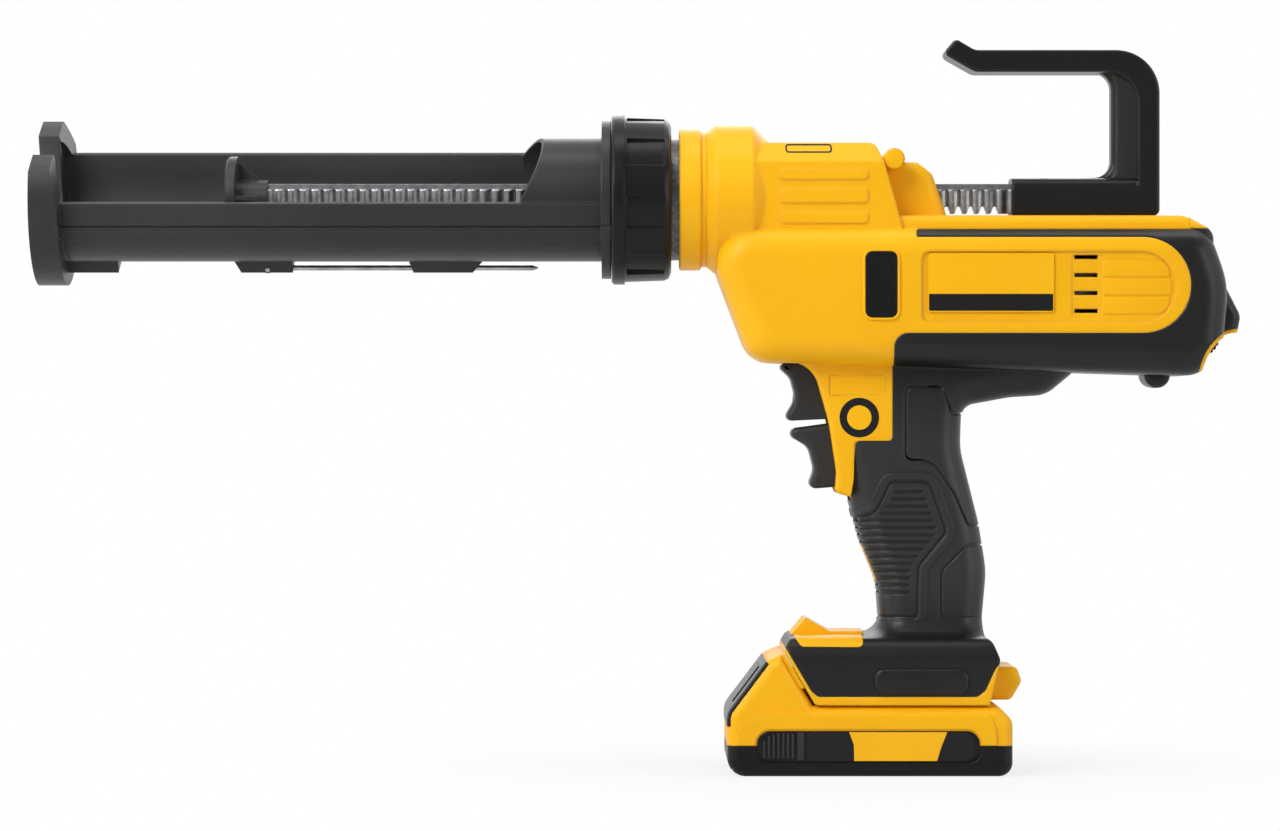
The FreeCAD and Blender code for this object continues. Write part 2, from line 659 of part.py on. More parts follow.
def piercing_rod():
    """Thin steel rod with a bent eye at its front end."""
    rod = rod_x(PIERCER_R, PIERCER_PIVOT, PIERCER_TIP - 2 * PIERCER_R, PIERCER_SIDE, -PIERCER_DROP)
    tip_start = Vector(PIERCER_TIP - 2 * PIERCER_R, PIERCER_SIDE, -PIERCER_DROP)
    tip = Part.makeCone(PIERCER_R, PIERCER_R / 4, 2 * PIERCER_R, tip_start, Vector(1, 0, 0))
    low, high = PIERCER_SIDE - PIERCER_EYE_HALF, PIERCER_SIDE + PIERCER_EYE_HALF
    eye = rod_y(PIERCER_EYE_R, low, high, PIERCER_PIVOT, -PIERCER_DROP)
    hole = rod_y(PIERCER_PIN_R + RUN_GAP, low - LAP, high + LAP, PIERCER_PIVOT, -PIERCER_DROP)
    return on_barrel(joined([rod, tip, eye]).cut(hole))


def piercing_rod_pin():
    """Pin that carries the piercing rod in its tab."""
    return on_barrel(rod_y(PIERCER_PIN_R, -TAB_HALF, PIERCER_PIN_END, PIERCER_PIVOT, -PIERCER_DROP))


def retaining_ring():
    """Ring on the spigot that keeps the collar on the carriage."""
    rear = RETAINER_FRONT + RETAINER_LENGTH
    return tube_x(RETAINER_R, SPIGOT_R + SEAT_GAP, RETAINER_FRONT, rear, BARREL_Z)


def thrust_washer():
    """Slip washer between the spigot and the sleeve."""
    return tube_x(SLEEVE_R - SLIDE_GAP, SLEEVE_R - SLEEVE_WALL, SPIGOT_REAR, SLEEVE_FRONT, BARREL_Z)


def collar_nut():
    """Ribbed nut that screws the carriage to the sleeve."""
    front = COLLAR_FRONT + SLIDE_GAP
    rim = front + COLLAR_RIM
    profile = [
        (front, 0), (front, COLLAR_RIM_R - COLLAR_CHAMFER), (front + COLLAR_CHAMFER, COLLAR_RIM_R),
        (rim, COLLAR_RIM_R), (rim, COLLAR_R),
    ]
    profile += [(COLLAR_REAR - back, COLLAR_R - down) for back, down in COLLAR_ROUND]
    body = turned(profile + [(COLLAR_REAR, 0)], 0)
    lip_rear = RETAINER_FRONT - SLIDE_GAP
    cavity_rear = SLEEVE_FRONT - THREAD_SETBACK
    recess_front = rim + COLLAR_RECESS_FRONT
    recess_length = COLLAR_REAR - COLLAR_RECESS_REAR - recess_front
    recesses = []
    for index in range(COLLAR_RIBS):
        start, sweep = Vector(recess_front, 0, 0), 180.0 / COLLAR_RIBS
        ring = Part.makeCylinder(COLLAR_RIM_R + LAP, recess_length, start, Vector(1, 0, 0), sweep)
        ring = ring.cut(rod_x(COLLAR_R - COLLAR_RECESS, rim, COLLAR_REAR))
        ring.rotate(Vector(0, 0, 0), Vector(1, 0, 0), index * 360.0 / COLLAR_RIBS)
        recesses.append(ring)
    bores = [
        rod_x(SPIGOT_R + SLIDE_GAP, front - LAP, lip_rear),
        rod_x(RETAINER_R + SLIDE_GAP, lip_rear, cavity_rear),
        rod_x(SLEEVE_R + RUN_GAP, cavity_rear, COLLAR_REAR + LAP),
    ]
    nut = body.cut(recesses + bores)
    nut.translate(Vector(0, 0, BARREL_Z))
    return nut


def mount_sleeve():
    """Steel sleeve that carries the collar thread and ends in a flange inside the nose."""
    flange_front = NOSE_FRONT + SHELL_WALL
    rear = flange_front + SLEEVE_FLANGE
    sleeve = rod_x(SLEEVE_R, SLEEVE_FRONT, rear, 0, BARREL_Z)
    flange = rod_x(SLEEVE_FLANGE_R, flange_front, rear, 0, BARREL_Z)
    return joined([sleeve, flange]).cut([
        rod_x(SLEEVE_R - SLEEVE_WALL, SLEEVE_FRONT - LAP, FRONT_GUIDE_X, 0, BARREL_Z),
        rod_x(SLEEVE_BORE_R, SLEEVE_FRONT - LAP, rear + LAP, 0, BARREL_Z),
    ])


def nose_ring():
    """Round trim ring between the sleeve and the housing."""
    end = NOSE_FRONT - NOSE_GROOVE
    profile = [
        (NOSE_RING_FRONT, SLEEVE_R + SEAT_GAP), (NOSE_RING_FRONT, NOSE_RING_R - NOSE_RING_CHAMFER),
        (NOSE_RING_FRONT + NOSE_RING_CHAMFER, NOSE_RING_R), (end - NOSE_RING_CHAMFER, NOSE_RING_R),
        (end, NOSE_RING_R - NOSE_RING_CHAMFER),
        (end, NOSE_GROOVE_R), (NOSE_FRONT, NOSE_GROOVE_R), (NOSE_FRONT, SLEEVE_R + SEAT_GAP),
    ]
    return turned(profile, BARREL_Z)


# Rod group
def rack_hole(low, high, gap):
    """Make the space that the rack needs to pass through."""
    half = RACK_HALF + gap
    return box(low, high, -half, half, BARREL_Z - RACK_BOTTOM - gap, BARREL_Z + RACK_TOP + gap)


def feed_rack():
    """Square bar with teeth underneath and flutes up its sides."""
    tip = BARREL_Z - RACK_BOTTOM
    root = PITCH_LINE_Z + (ADDENDUM + TOOTH_ROOM) * RACK_MODULE
    slope = math.tan(math.radians(PRESSURE_ANGLE))
    gap_half = RACK_PITCH * (1 - TOOTH_SHARE / 2) / 2
    mouth_half = gap_half + (PITCH_LINE_Z - tip) * slope
    floor_half = gap_half - (root - PITCH_LINE_Z) * slope
    bar = box(RACK_FRONT, RACK_REAR, -RACK_HALF, RACK_HALF, tip, BARREL_Z + RACK_TOP)
    first = DRIVE_X - RACK_PITCH * (math.floor((DRIVE_X - RACK_TEETH_FRONT) / RACK_PITCH) - 0.5)
    flute_length = RACK_TOP + RACK_BOTTOM - RACK_SPINE
    cuts = []
    for index in range(RACK_TEETH):
        x = first + index * RACK_PITCH
        notch = sharp(
            (x - mouth_half, tip), (x - floor_half, root), (x + floor_half, root), (x + mouth_half, tip),
        )
        cuts.append(slab(notch, -RACK_HALF - LAP, RACK_HALF + LAP))
        for side in (-1, 1):
            flute = box(-RACK_FLUTE, RACK_FLUTE, -RACK_FLUTE, RACK_FLUTE, 0, flute_length)
            flute.rotate(Vector(0, 0, 0), Vector(0, 0, 1), 45)
            flute.translate(Vector(x, side * (RACK_HALF + RACK_FLUTE_SET), tip))
            cuts.append(flute)
    return bar.cut(cuts)


def plunger():
    """Push disc with a hub and ribs on the front end of the rack."""
    disc_back = PLUNGER_FRONT + PLUNGER_DISC
    disc = turned([
        (PLUNGER_FRONT, 0), (PLUNGER_FRONT, PLUNGER_R - PLUNGER_CHAMFER),
        (PLUNGER_FRONT + PLUNGER_CHAMFER, PLUNGER_R), (disc_back, PLUNGER_R), (disc_back, 0),
    ], BARREL_Z)
    hub = rod_x(PLUNGER_HUB_R, disc_back - LAP, PLUNGER_HUB_REAR, 0, BARREL_Z)
    rib_end = PLUNGER_HUB_REAR - PLUNGER_RIB_END
    solids = [disc, hub]
    for index in range(PLUNGER_RIBS):
        rib = slab(
            sharp((disc_back - LAP, 0), (disc_back - LAP, PLUNGER_R - PLUNGER_RIB_SET),
                  (rib_end, PLUNGER_HUB_R - LAP), (rib_end, 0)),
            -PLUNGER_RIB / 2, PLUNGER_RIB / 2,
        )
        rib.rotate(Vector(0, 0, 0), Vector(1, 0, 0), index * 360 / PLUNGER_RIBS)
        rib.translate(Vector(0, 0, BARREL_Z))
        solids.append(rib)
    screw = rod_x(PLUNGER_SCREW_R + SEAT_GAP, PLUNGER_FRONT - LAP, RACK_FRONT, 0, BARREL_Z)
    return joined(solids).cut([rack_hole(RACK_FRONT, PLUNGER_HUB_REAR + LAP, SEAT_GAP), screw])


def plunger_screw():
    """Flat screw that holds the plunger on the rack."""
    front = PLUNGER_FRONT + PLUNGER_SCREW_SINK
    shank = rod_x(PLUNGER_SCREW_R, front, RACK_FRONT, 0, BARREL_Z)
    low, high = BARREL_Z - PLUNGER_SCREW_R, BARREL_Z + PLUNGER_SCREW_R
    return shank.cut(box(front - LAP, front + PLUNGER_SLOT, -PLUNGER_SLOT_HALF, PLUNGER_SLOT_HALF, low, high))


def rod_handle():
    """Hooked pull handle on the rear end of the rack."""
    hollow = rack_hole(HANDLE_FRONT - LAP, RACK_REAR, SEAT_GAP)
    x, seat = HANDLE_FRONT + HANDLE_SCREW_SET, BARREL_Z + RACK_TOP + HANDLE_SCREW_NECK
    well = Part.makeCylinder(HANDLE_SCREW_HEAD_R + SLIDE_GAP, FAR / 20, Vector(x, 0, seat))
    shank = Part.makeCylinder(HANDLE_SCREW_R + SEAT_GAP, FAR / 20, Vector(x, 0, BARREL_Z))
    low, high = BARREL_Z - HANDLE_SLEEVE_BOTTOM, BARREL_Z + HANDLE_SLEEVE_TOP
    section = (
        (-HANDLE_HALF, low, HANDLE_SLEEVE_EDGE), (-HANDLE_HALF, high, HANDLE_SLEEVE_ROUND),
        (HANDLE_HALF, high, HANDLE_SLEEVE_ROUND), (HANDLE_HALF, low, HANDLE_SLEEVE_EDGE),
    )
    end = rounded_face(section, cross)
    end.translate(Vector(HANDLE_FRONT, 0, 0))
    solids = [
        puff(HANDLE_STRIP, HANDLE_HALF, HANDLE_EDGE),
        puff(HANDLE_WEB, HANDLE_WEB_HALF, HANDLE_WEB_EDGE, 0.0, lambda place: not on_web_edge(place)),
        end.extrude(Vector(HANDLE_BACK - HANDLE_EDGE - HANDLE_ARM / 2 - HANDLE_FRONT, 0, 0)),
    ]
    return joined(solids).cut([hollow, well, shank])


def on_web_edge(place):
    """Tell whether a rim of the handle's web looks into the finger gap."""
    above = place.z > BARREL_Z + HANDLE_SLEEVE_TOP - HANDLE_WEB_LAP
    below = place.z < HANDLE_ARM_TOP - HANDLE_ARM + HANDLE_WEB_LAP
    return above and below and HANDLE_FRONT + HANDLE_WEB_SET + LAP < place.x < HANDLE_BACK - HANDLE_ARM


def handle_screw():
    """Screw that holds the handle on the rack."""
    x, top = HANDLE_FRONT + HANDLE_SCREW_SET, BARREL_Z + RACK_TOP
    head = Part.makeCylinder(HANDLE_SCREW_HEAD_R, HANDLE_SCREW_HEAD, Vector(x, 0, top + HANDLE_SCREW_NECK))
    shank = Part.makeCylinder(HANDLE_SCREW_R, HANDLE_SCREW_NECK, Vector(x, 0, top))
    return joined([head, shank])


# Housing group
def form(inset):
    """Outer form of the power unit shrunk by an inset, with no holes."""
    nose = turned([
        (NOSE_FRONT + inset, 0), (NOSE_FRONT + inset, NOSE_GROOVE_R - inset),
        (NOSE_FRONT + NOSE_CHAMFER, NOSE_R - inset), (NOSE_BACK, NOSE_R - inset),
        (NOSE_BACK + NOSE_R - BARREL_TOP, BARREL_TOP - inset), (NOSE_BACK + NOSE_R - BARREL_TOP, 0),
    ], BARREL_Z)
    section = sharp(
        (-BARREL_HALF, BARREL_Z - FAR / 10), (-BARREL_HALF, BARREL_Z + BARREL_SHOULDER),
        (-BARREL_CROWN_HALF, BARREL_Z + BARREL_TOP), (BARREL_CROWN_HALF, BARREL_Z + BARREL_TOP),
        (BARREL_HALF, BARREL_Z + BARREL_SHOULDER), (BARREL_HALF, BARREL_Z - FAR / 10),
    )
    section_face = rounded_face(section, cross)
    if inset:
        section_face = section_face.makeOffset2D(-inset)
    section_face.translate(Vector(-FAR / 2, 0, 0))
    barrel = puff(BARREL_OUTLINE, FAR / 10, 0, inset).common(section_face.extrude(Vector(FAR, 0, 0)))
    arch = [
        (-FOOT_HALF, FOOT_Z - 5, 0), (-FOOT_HALF, FOOT_TOP, FOOT_ROUND), (FOOT_HALF, FOOT_TOP, FOOT_ROUND),
        (FOOT_HALF, FOOT_Z - 5, 0),
    ]
    arch_face = rounded_face(arch, cross)
    if inset:
        arch_face = arch_face.makeOffset2D(-inset)
    arch_face.translate(Vector(-FAR / 2, 0, 0))
    foot = puff(FOOT_OUTLINE, FAR / 10, 0, inset).common(arch_face.extrude(Vector(FAR, 0, 0)))
    solids = [
        nose,
        barrel,
        puff(GUIDE_OUTLINE, GUIDE_HALF, GUIDE_EDGE, inset, lambda place: place.x < 0 or place.z < BODY_TOP),
        puff(BODY_OUTLINE, BODY_HALF, BODY_EDGE, inset),
        puff(DECK_OUTLINE, DECK_HALF, DECK_EDGE, inset, lambda place: place.x < 10 or place.z < 230),
        puff(GRIP_OUTLINE, GRIP_HALF, GRIP_EDGE, inset, lambda place: place.z > 184 or place.z < 55),
        puff(SPINE_OUTLINE, HOOD_HALF, HOOD_EDGE, inset, lambda place: place.x < 145),
        foot,
        rod_y(TOP_BOSS_R - inset, -BOSS_HALF + inset, BOSS_HALF - inset, *TOP_BOSS),
        rod_y(LOW_BOSS_R - inset, -BOSS_HALF + inset, BOSS_HALF - inset, *LOW_BOSS),
    ]
    return joined(solids)


def opening_cuts():
    """Everything that is cut through the housing wall from outside."""
    room = SLIDE_GAP
    cuts = [
        rod_y(SCOOP_R, -FAR, FAR, SCOOP_X, SCOOP_Z),
        rod_y(DIAL_R + 2 * room, -DIAL_HALF - room, DIAL_HALF + room, DIAL_X, DIAL_Z),
        rod_x(SLEEVE_R + SEAT_GAP, NOSE_FRONT - LAP, NOSE_FRONT + SHELL_WALL + LAP, 0, BARREL_Z),
        rod_x(SLEEVE_FLANGE_R + SEAT_GAP, NOSE_FRONT + SHELL_WALL, NOSE_BACK, 0, BARREL_Z),
        rod_x(CASE_R + SEAT_GAP, CASE_FRONT - SLIDE_GAP, MOTOR_FRONT + MOTOR_WALL + SLIDE_GAP, 0, MOTOR_Z),
        guide_block(SEAT_GAP),
        rack_hole(0, HANDLE_FRONT, room),
    ]
    mouth_half = TRIGGER_HALF + room
    cuts.append(box(
        -FAR / 4, TRIGGER_MOUTH_X, -mouth_half, mouth_half, TRIGGER_MOUTH_LOW, TRIGGER_MOUTH_HIGH,
    ))
    half, tall = LOCK_LENGTH / 2 + room, LOCK_HEIGHT / 2 + room
    window = (
        (LOCK_X - half, LOCK_Z - tall, LOCK_CORNER), (LOCK_X + half, LOCK_Z - tall, LOCK_CORNER),
        (LOCK_X + half, LOCK_Z + tall, LOCK_CORNER), (LOCK_X - half, LOCK_Z + tall, LOCK_CORNER),
    )
    cuts.append(slab(window, -FAR / 8, FAR / 8))
    for index in range(VENT_COUNT):
        z = VENT_TOP - index * VENT_STEP
        low, high = z - VENT_HEIGHT / 2, z + VENT_HEIGHT / 2
        cuts.append(box(VENT_X - VENT_LENGTH / 2, VENT_X + VENT_LENGTH / 2, -FAR / 8, FAR / 8, low, high))
    cuts += both_sides(
        lambda low, high: slab(PLATE_OUTLINE, low, high), BODY_HALF - PLATE_DEPTH, BODY_HALF + LAP,
    )
    return cuts


def tunnel():
    """Space in the foot that the battery's tower slides into, between two rails."""
    space = box(-FAR / 4, TOWER_REAR + SLIDE_GAP, -TUNNEL_HALF, TUNNEL_HALF, FOOT_Z - 5, TUNNEL_TOP)
    for side in (-1, 1):
        inner, outer = sorted((side * (TUNNEL_HALF - RAIL_BITE), side * (TUNNEL_HALF + LAP)))
        space = space.cut(box(RAIL_FRONT, TOWER_REAR + LAP, inner, outer, RAIL_LOW, RAIL_HIGH))
    return space


def both_sides(maker, low, high):
    """Make the same post on both sides, between two distances from the middle plane."""
    return [maker(low, high), maker(-high, -low)]


def inner_posts():
    """Ribs, posts and bosses that stand inside the housing and carry the mechanism."""
    wide = BODY_HALF
    posts = []
    cradles = (
        (MOTOR_FRONT + MOTOR_CRADLE_SET, MOTOR_R), (MOTOR_REAR - MOTOR_CRADLE_SET, MOTOR_R),
        (CASE_FRONT + CASE_CRADLE_SET, CASE_R), (RING_BACK - CASE_CRADLE_SET, CASE_R),
    )
    for x, radius in cradles:
        rib = box(x, x + CRADLE, -wide, wide, MOTOR_Z - FAR / 8, MOTOR_Z + CRADLE_TOP)
        posts.append(rib.cut(rod_x(radius + SEAT_GAP, x - LAP, x + CRADLE + LAP, 0, MOTOR_Z)))
    frame_face = FRAME_INNER + FRAME_PLATE
    for z in (MOTOR_Z, PINION_Z):
        posts += both_sides(
            lambda low, high, z=z: rod_y(FRAME_POST_R, low, high, DRIVE_X, z), frame_face, wide,
        )
    switch_x = SWITCH_FRONT + SWITCH_LENGTH / 2
    switch_z = SWITCH_TOP - SWITCH_HEIGHT / 2
    posts += both_sides(
        lambda low, high: box(
            switch_x - SWITCH_POST, switch_x + SWITCH_POST, low, high,
            switch_z - SWITCH_POST, switch_z + SWITCH_POST,
        ),
        SWITCH_HALF, GRIP_HALF,
    )
    posts += both_sides(
        lambda low, high: rod_y(RELEASE_PIN_R + PIN_POST_WALL, low, high, *RELEASE_PIVOT),
        TRIGGER_HALF + SLIDE_GAP, GRIP_HALF,
    )
    posts += both_sides(
        lambda low, high: rod_y(DIAL_PIN_R + PIN_POST_WALL, low, high, DIAL_X, DIAL_Z),
        DIAL_HALF + SLIDE_GAP, DIAL_PIN_HALF + LAP,
    )
    seat = box(
        REAR_GUIDE_X - GUIDE_WALL, FAR / 10, -GUIDE_HALF, GUIDE_HALF,
        BARREL_Z - FAR / 20, BARREL_Z + GUIDE_TOP,
    )
    posts.append(seat.cut(guide_block(SEAT_GAP)))
    for x, z in SCREW_SPOTS:
        posts.append(rod_y(SCREW_BOSS_R, -wide, wide, x, z))
    return posts


def screw_holes():
    """Clearance for each housing screw, with a well for its head on the far side."""
    holes = []
    for x, z in SCREW_SPOTS:
        holes.append(rod_y(SCREW_R + SEAT_GAP, -SCREW_DEPTH, SCREW_HEAD_Y + LAP, x, z))
        holes.append(rod_y(SCREW_HEAD_R + SLIDE_GAP, SCREW_HEAD_Y, FAR / 8, x, z))
    return holes


def side_pads():
    """Raised pads on both sides of the barrel."""
    pads = []
    for low, high in PAD_BANDS:
        corners = (
            (PAD_FRONT, low, PAD_CORNER), (PAD_REAR, low, PAD_CORNER), (PAD_REAR, high, PAD_CORNER),
            (PAD_FRONT, high, PAD_CORNER),
        )
        pads += both_sides(
            lambda near, far: slab(corners, near, far), BARREL_HALF - LAP, BARREL_HALF + PAD_PROUD,
        )
    return pads


def housing():
    """Both halves of the hard shell and of its soft skin, in the order left, right, left skin, right skin."""
    outer = joined([form(0.0)] + side_pads() + [puff(REAR_BLOCK, REAR_BLOCK_HALF, REAR_BLOCK_EDGE)])
    cavity = form(SHELL_WALL).cut([
        rod_y(SCOOP_R + SHELL_WALL, -FAR, FAR, SCOOP_X, SCOOP_Z),
        box(-FAR, FAR, -FAR, FAR, 0, FLOOR_TOP),
    ] + inner_posts())
    end_r = (PANEL_TOP - PANEL_BOTTOM) / 2
    black = slab(BLACK_REGION, -FAR / 8, FAR / 8).cut([
        box(0, PANEL_END, -FAR / 8, FAR / 8, PANEL_BOTTOM, PANEL_TOP),
        rod_y(end_r, -FAR / 8, FAR / 8, PANEL_END, PANEL_BOTTOM + end_r),
        rod_y(SCOOP_R + SKIN, -FAR / 8, FAR / 8, SCOOP_X, SCOOP_Z),
        box(-FAR / 20, FAR / 20, -INLAY_HALF, INLAY_HALF, *INLAY_Z),
    ])
    pin_cuts = [
        rod_y(RELEASE_PIN_R + SEAT_GAP, -RELEASE_PIN_HALF, RELEASE_PIN_HALF, *RELEASE_PIVOT),
        rod_y(DIAL_PIN_R + SEAT_GAP, -DIAL_PIN_HALF, DIAL_PIN_HALF, DIAL_X, DIAL_Z),
    ]
    cuts = opening_cuts() + screw_holes() + pin_cuts + [tunnel()]
    cuts += [blade_bar(SLIDE_GAP), lead_path(LEAD_R + SLIDE_GAP)]
    skin = outer.common(black).cut([form(SKIN)] + cuts)
    shell = outer.cut([cavity, skin] + cuts)
    halves = []
    for whole in (shell, skin):
        for low, high in ((-FAR, 0), (0, FAR)):
            half = whole.common(box(-FAR, FAR, low, high, 0, FAR))
            halves.append(max(half.Solids, key=lambda solid: solid.Volume))
    return halves


def side_plates():
    """Bare plates in the recesses of both housing sides."""
    inner = BODY_HALF - PLATE_DEPTH
    plates = both_sides(lambda low, high: slab(PLATE_OUTLINE, low, high), inner, inner + PLATE_THICK)
    return Part.makeCompound(plates)


def housing_screws():
    """Screws that draw the housing halves together."""
    screws = []
    for x, z in SCREW_SPOTS:
        shank = rod_y(SCREW_R, -SCREW_DEPTH, SCREW_HEAD_Y, x, z)
        head = rod_y(SCREW_HEAD_R, SCREW_HEAD_Y, SCREW_HEAD_Y + SCREW_HEAD, x, z)
        socket = rod_y(SCREW_R, SCREW_HEAD_Y + SCREW_HEAD / 2, SCREW_HEAD_Y + SCREW_HEAD + LAP, x, z)
        screws.append(joined([shank, head]).cut(socket))
    return Part.makeCompound(screws)


def foot_guard():
    """Wedge on the front of the foot."""
    return slab(GUARD_OUTLINE, -GUARD_HALF, GUARD_HALF)


# Controls
def trigger_form(outline, round_x):
    """Extrude a trigger and round the side edges of its finger face, in front of an X plane."""
    body = slab(outline, -TRIGGER_HALF, TRIGGER_HALF)
    rims = []
    for rim in body.Edges:
        on_side = all(abs(abs(vertex.Y) - TRIGGER_HALF) < 1e-6 for vertex in rim.Vertexes)
        if on_side and all(vertex.X < round_x for vertex in rim.Vertexes):
            rims.append(rim)
    return body.makeFillet(TRIGGER_EDGE, rims)


def speed_trigger():
    """Upper trigger with the stem that works the switch."""
    stem = rod_x(TRIGGER_STEM_R, TRIGGER_BACK - LAP, SWITCH_FRONT + TRIGGER_STEM_REACH, 0, TRIGGER_STEM_Z)
    return joined([trigger_form(UPPER_TRIGGER, UPPER_ROUND_X), stem])


def trigger_spring():
    """Return spring of the upper trigger, drawn as a sleeve round the stem."""
    return tube_x(SPRING_R, SPRING_R - SPRING_WALL, TRIGGER_BACK, SWITCH_FRONT + LAP, TRIGGER_STEM_Z)


def release_trigger():
    """Lower trigger that frees the rod."""
    hole = rod_y(RELEASE_PIN_R + RUN_GAP, -TRIGGER_HALF - LAP, TRIGGER_HALF + LAP, *RELEASE_PIVOT)
    return trigger_form(LOWER_TRIGGER, LOWER_ROUND_X).cut(hole)


def hinge_pins():
    """Pins of the lower trigger and of the speed dial."""
    return Part.makeCompound([
        rod_y(RELEASE_PIN_R, -RELEASE_PIN_HALF, RELEASE_PIN_HALF, *RELEASE_PIVOT),
        rod_y(DIAL_PIN_R, -DIAL_PIN_HALF, DIAL_PIN_HALF, DIAL_X, DIAL_Z),
    ])


def lock_off_button():
    """Shuttle with a pad on each side of the housing and a bar under the drive shaft."""
    half, tall = LOCK_LENGTH / 2, LOCK_HEIGHT / 2
    corners = (
        (LOCK_X - half, LOCK_Z - tall, LOCK_CORNER), (LOCK_X + half, LOCK_Z - tall, LOCK_CORNER),
        (LOCK_X + half, LOCK_Z + tall, LOCK_CORNER), (LOCK_X - half, LOCK_Z + tall, LOCK_CORNER),
    )
    outer = BODY_HALF + LOCK_PROUD
    pads = both_sides(lambda low, high: slab(corners, low, high), outer - LOCK_PAD, outer)
    low = LOCK_Z - tall + LOCK_BAR_SET
    bar = box(LOCK_X - LOCK_BAR, LOCK_X + LOCK_BAR, -outer + LAP, outer - LAP, low, low + LOCK_BAR)
    return joined(pads + [bar])


def speed_dial():
    """Thumb wheel with a notched rim."""
    wheel = rod_y(DIAL_R, -DIAL_HALF, DIAL_HALF, DIAL_X, DIAL_Z)
    cuts = [rod_y(DIAL_PIN_R + RUN_GAP, -DIAL_HALF - LAP, DIAL_HALF + LAP, DIAL_X, DIAL_Z)]
    for index in range(DIAL_NOTCHES):
        turn = index * 2 * math.pi / DIAL_NOTCHES
        x = DIAL_X + (DIAL_R + DIAL_NOTCH_SET) * math.cos(turn)
        z = DIAL_Z + (DIAL_R + DIAL_NOTCH_SET) * math.sin(turn)
        cuts.append(rod_y(DIAL_NOTCH_R, -DIAL_HALF - LAP, DIAL_HALF + LAP, x, z))
    return wheel.cut(cuts)


def switch_module():
    """Switch box behind the upper trigger."""
    rear, low = SWITCH_FRONT + SWITCH_LENGTH, SWITCH_TOP - SWITCH_HEIGHT
    body = box(SWITCH_FRONT, rear, -SWITCH_HALF, SWITCH_HALF, low, SWITCH_TOP)
    start, stop = SWITCH_FRONT - LAP, SWITCH_FRONT + TRIGGER_TRAVEL
    spring_hole = rod_x(SPRING_R + SLIDE_GAP, start, stop + SPRING_ROOM, 0, TRIGGER_STEM_Z)
    stem_hole = rod_x(TRIGGER_STEM_R + RUN_GAP, start, stop + STEM_ROOM, 0, TRIGGER_STEM_Z)
    return body.cut([spring_hole, stem_hole])


# Drive train
def involute(angle):
    """Involute function of an angle in radians."""
    return math.tan(angle) - angle


def gear_points(module, teeth, tip, root, share, phase):
    """Outline of a spur gear with involute flanks, its first tooth at a phase in degrees."""
    pitch_r = module * teeth / 2
    pressure = math.radians(PRESSURE_ANGLE)
    base_r = pitch_r * math.cos(pressure)
    start = max(base_r, root)
    steps = [start + (tip - start) * step / FLANK_STEPS for step in range(FLANK_STEPS + 1)]
    flank = []
    for radius in steps:
        lean = involute(pressure) - involute(math.acos(min(1.0, base_r / radius)))
        flank.append((radius, math.pi / (2 * teeth) * share + lean))
    if root < base_r:
        flank.insert(0, (root, flank[0][1]))
    points = []
    for tooth in range(teeth):
        middle = math.radians(phase) + tooth * 2 * math.pi / teeth
        side = [(radius, middle - half) for radius, half in flank]
        side += [(radius, middle + half) for radius, half in reversed(flank)]
        points += [(radius * math.cos(turn), radius * math.sin(turn)) for radius, turn in side]
    return points


def gear_x(points, low, high, y, z):
    """Extrude a gear outline along X."""
    corners = [Vector(low, y + u, z + v) for u, v in points]
    return Part.Face(Part.makePolygon(corners + corners[:1])).extrude(Vector(high - low, 0, 0))


def gear_y(points, low, high, x, z):
    """Extrude a gear outline along Y."""
    corners = [Vector(x + u, low, z + v) for u, v in points]
    return Part.Face(Part.makePolygon(corners + corners[:1])).extrude(Vector(0, high - low, 0))


def spur_points(module, teeth, phase):
    """Outline of a standard outer gear."""
    pitch_r = module * teeth / 2
    tip, root = pitch_r + ADDENDUM * module, pitch_r - (ADDENDUM + TOOTH_ROOM) * module
    return gear_points(module, teeth, tip, root, TOOTH_SHARE, phase)


def bevel_gear(teeth, mate_teeth, phase, place):
    """Bevel gear with straight flanks that run to the shared apex at the origin of its place function."""
    pitch_r = BEVEL_MODULE * teeth / 2
    reach = BEVEL_MODULE * mate_teeth / 2
    lean = math.cos(math.atan2(pitch_r, reach))
    tip = pitch_r + BEVEL_ADDENDUM * BEVEL_MODULE / lean
    root = pitch_r - (BEVEL_ADDENDUM + TOOTH_ROOM) * BEVEL_MODULE / lean
    slope = math.tan(math.radians(PRESSURE_ANGLE)) * lean
    points = []
    for tooth in range(teeth):
        middle = math.radians(phase) + tooth * 2 * math.pi / teeth
        for radius, sign in ((root, -1), (tip, -1), (tip, 1), (root, 1)):
            half = math.pi * BEVEL_MODULE / 4 * BEVEL_SHARE - (radius - pitch_r) * slope
            turn = middle + sign * half / radius
            points.append((radius * math.cos(turn), radius * math.sin(turn)))
    small = 1 - BEVEL_FACE / math.hypot(pitch_r, reach)
    wires = []
    for scale in (1.0, small):
        ring = [place(u * scale, v * scale, reach * scale) for u, v in points]
        wires.append(Part.makePolygon(ring + ring[:1]))
    return Part.makeLoft(wires, True, True)


def feed_pinion():
    """Gear under the rack that drives the rod."""
    points = spur_points(RACK_MODULE, PINION_TEETH, 90 + 180 / PINION_TEETH)
    gear = gear_y(points, PINION_BACK, PINION_BACK + PINION_FACE, DRIVE_X, PINION_Z)
    return gear.cut(rod_y(SHAFT_R + SEAT_GAP, -FAR, FAR, DRIVE_X, PINION_Z))


def feed_shaft():
    """Shaft of the rack pinion with the driven half of the clutch."""
    reach = FRAME_INNER + FRAME_PLATE
    dog_front = SPUR_FRONT + SPUR_FACE + RUN_GAP
    dog = rod_y(DOG_R, dog_front, FRAME_INNER - SLIDE_GAP, DRIVE_X, PINION_Z)
    return joined([rod_y(SHAFT_R, -reach, reach, DRIVE_X, PINION_Z), dog])


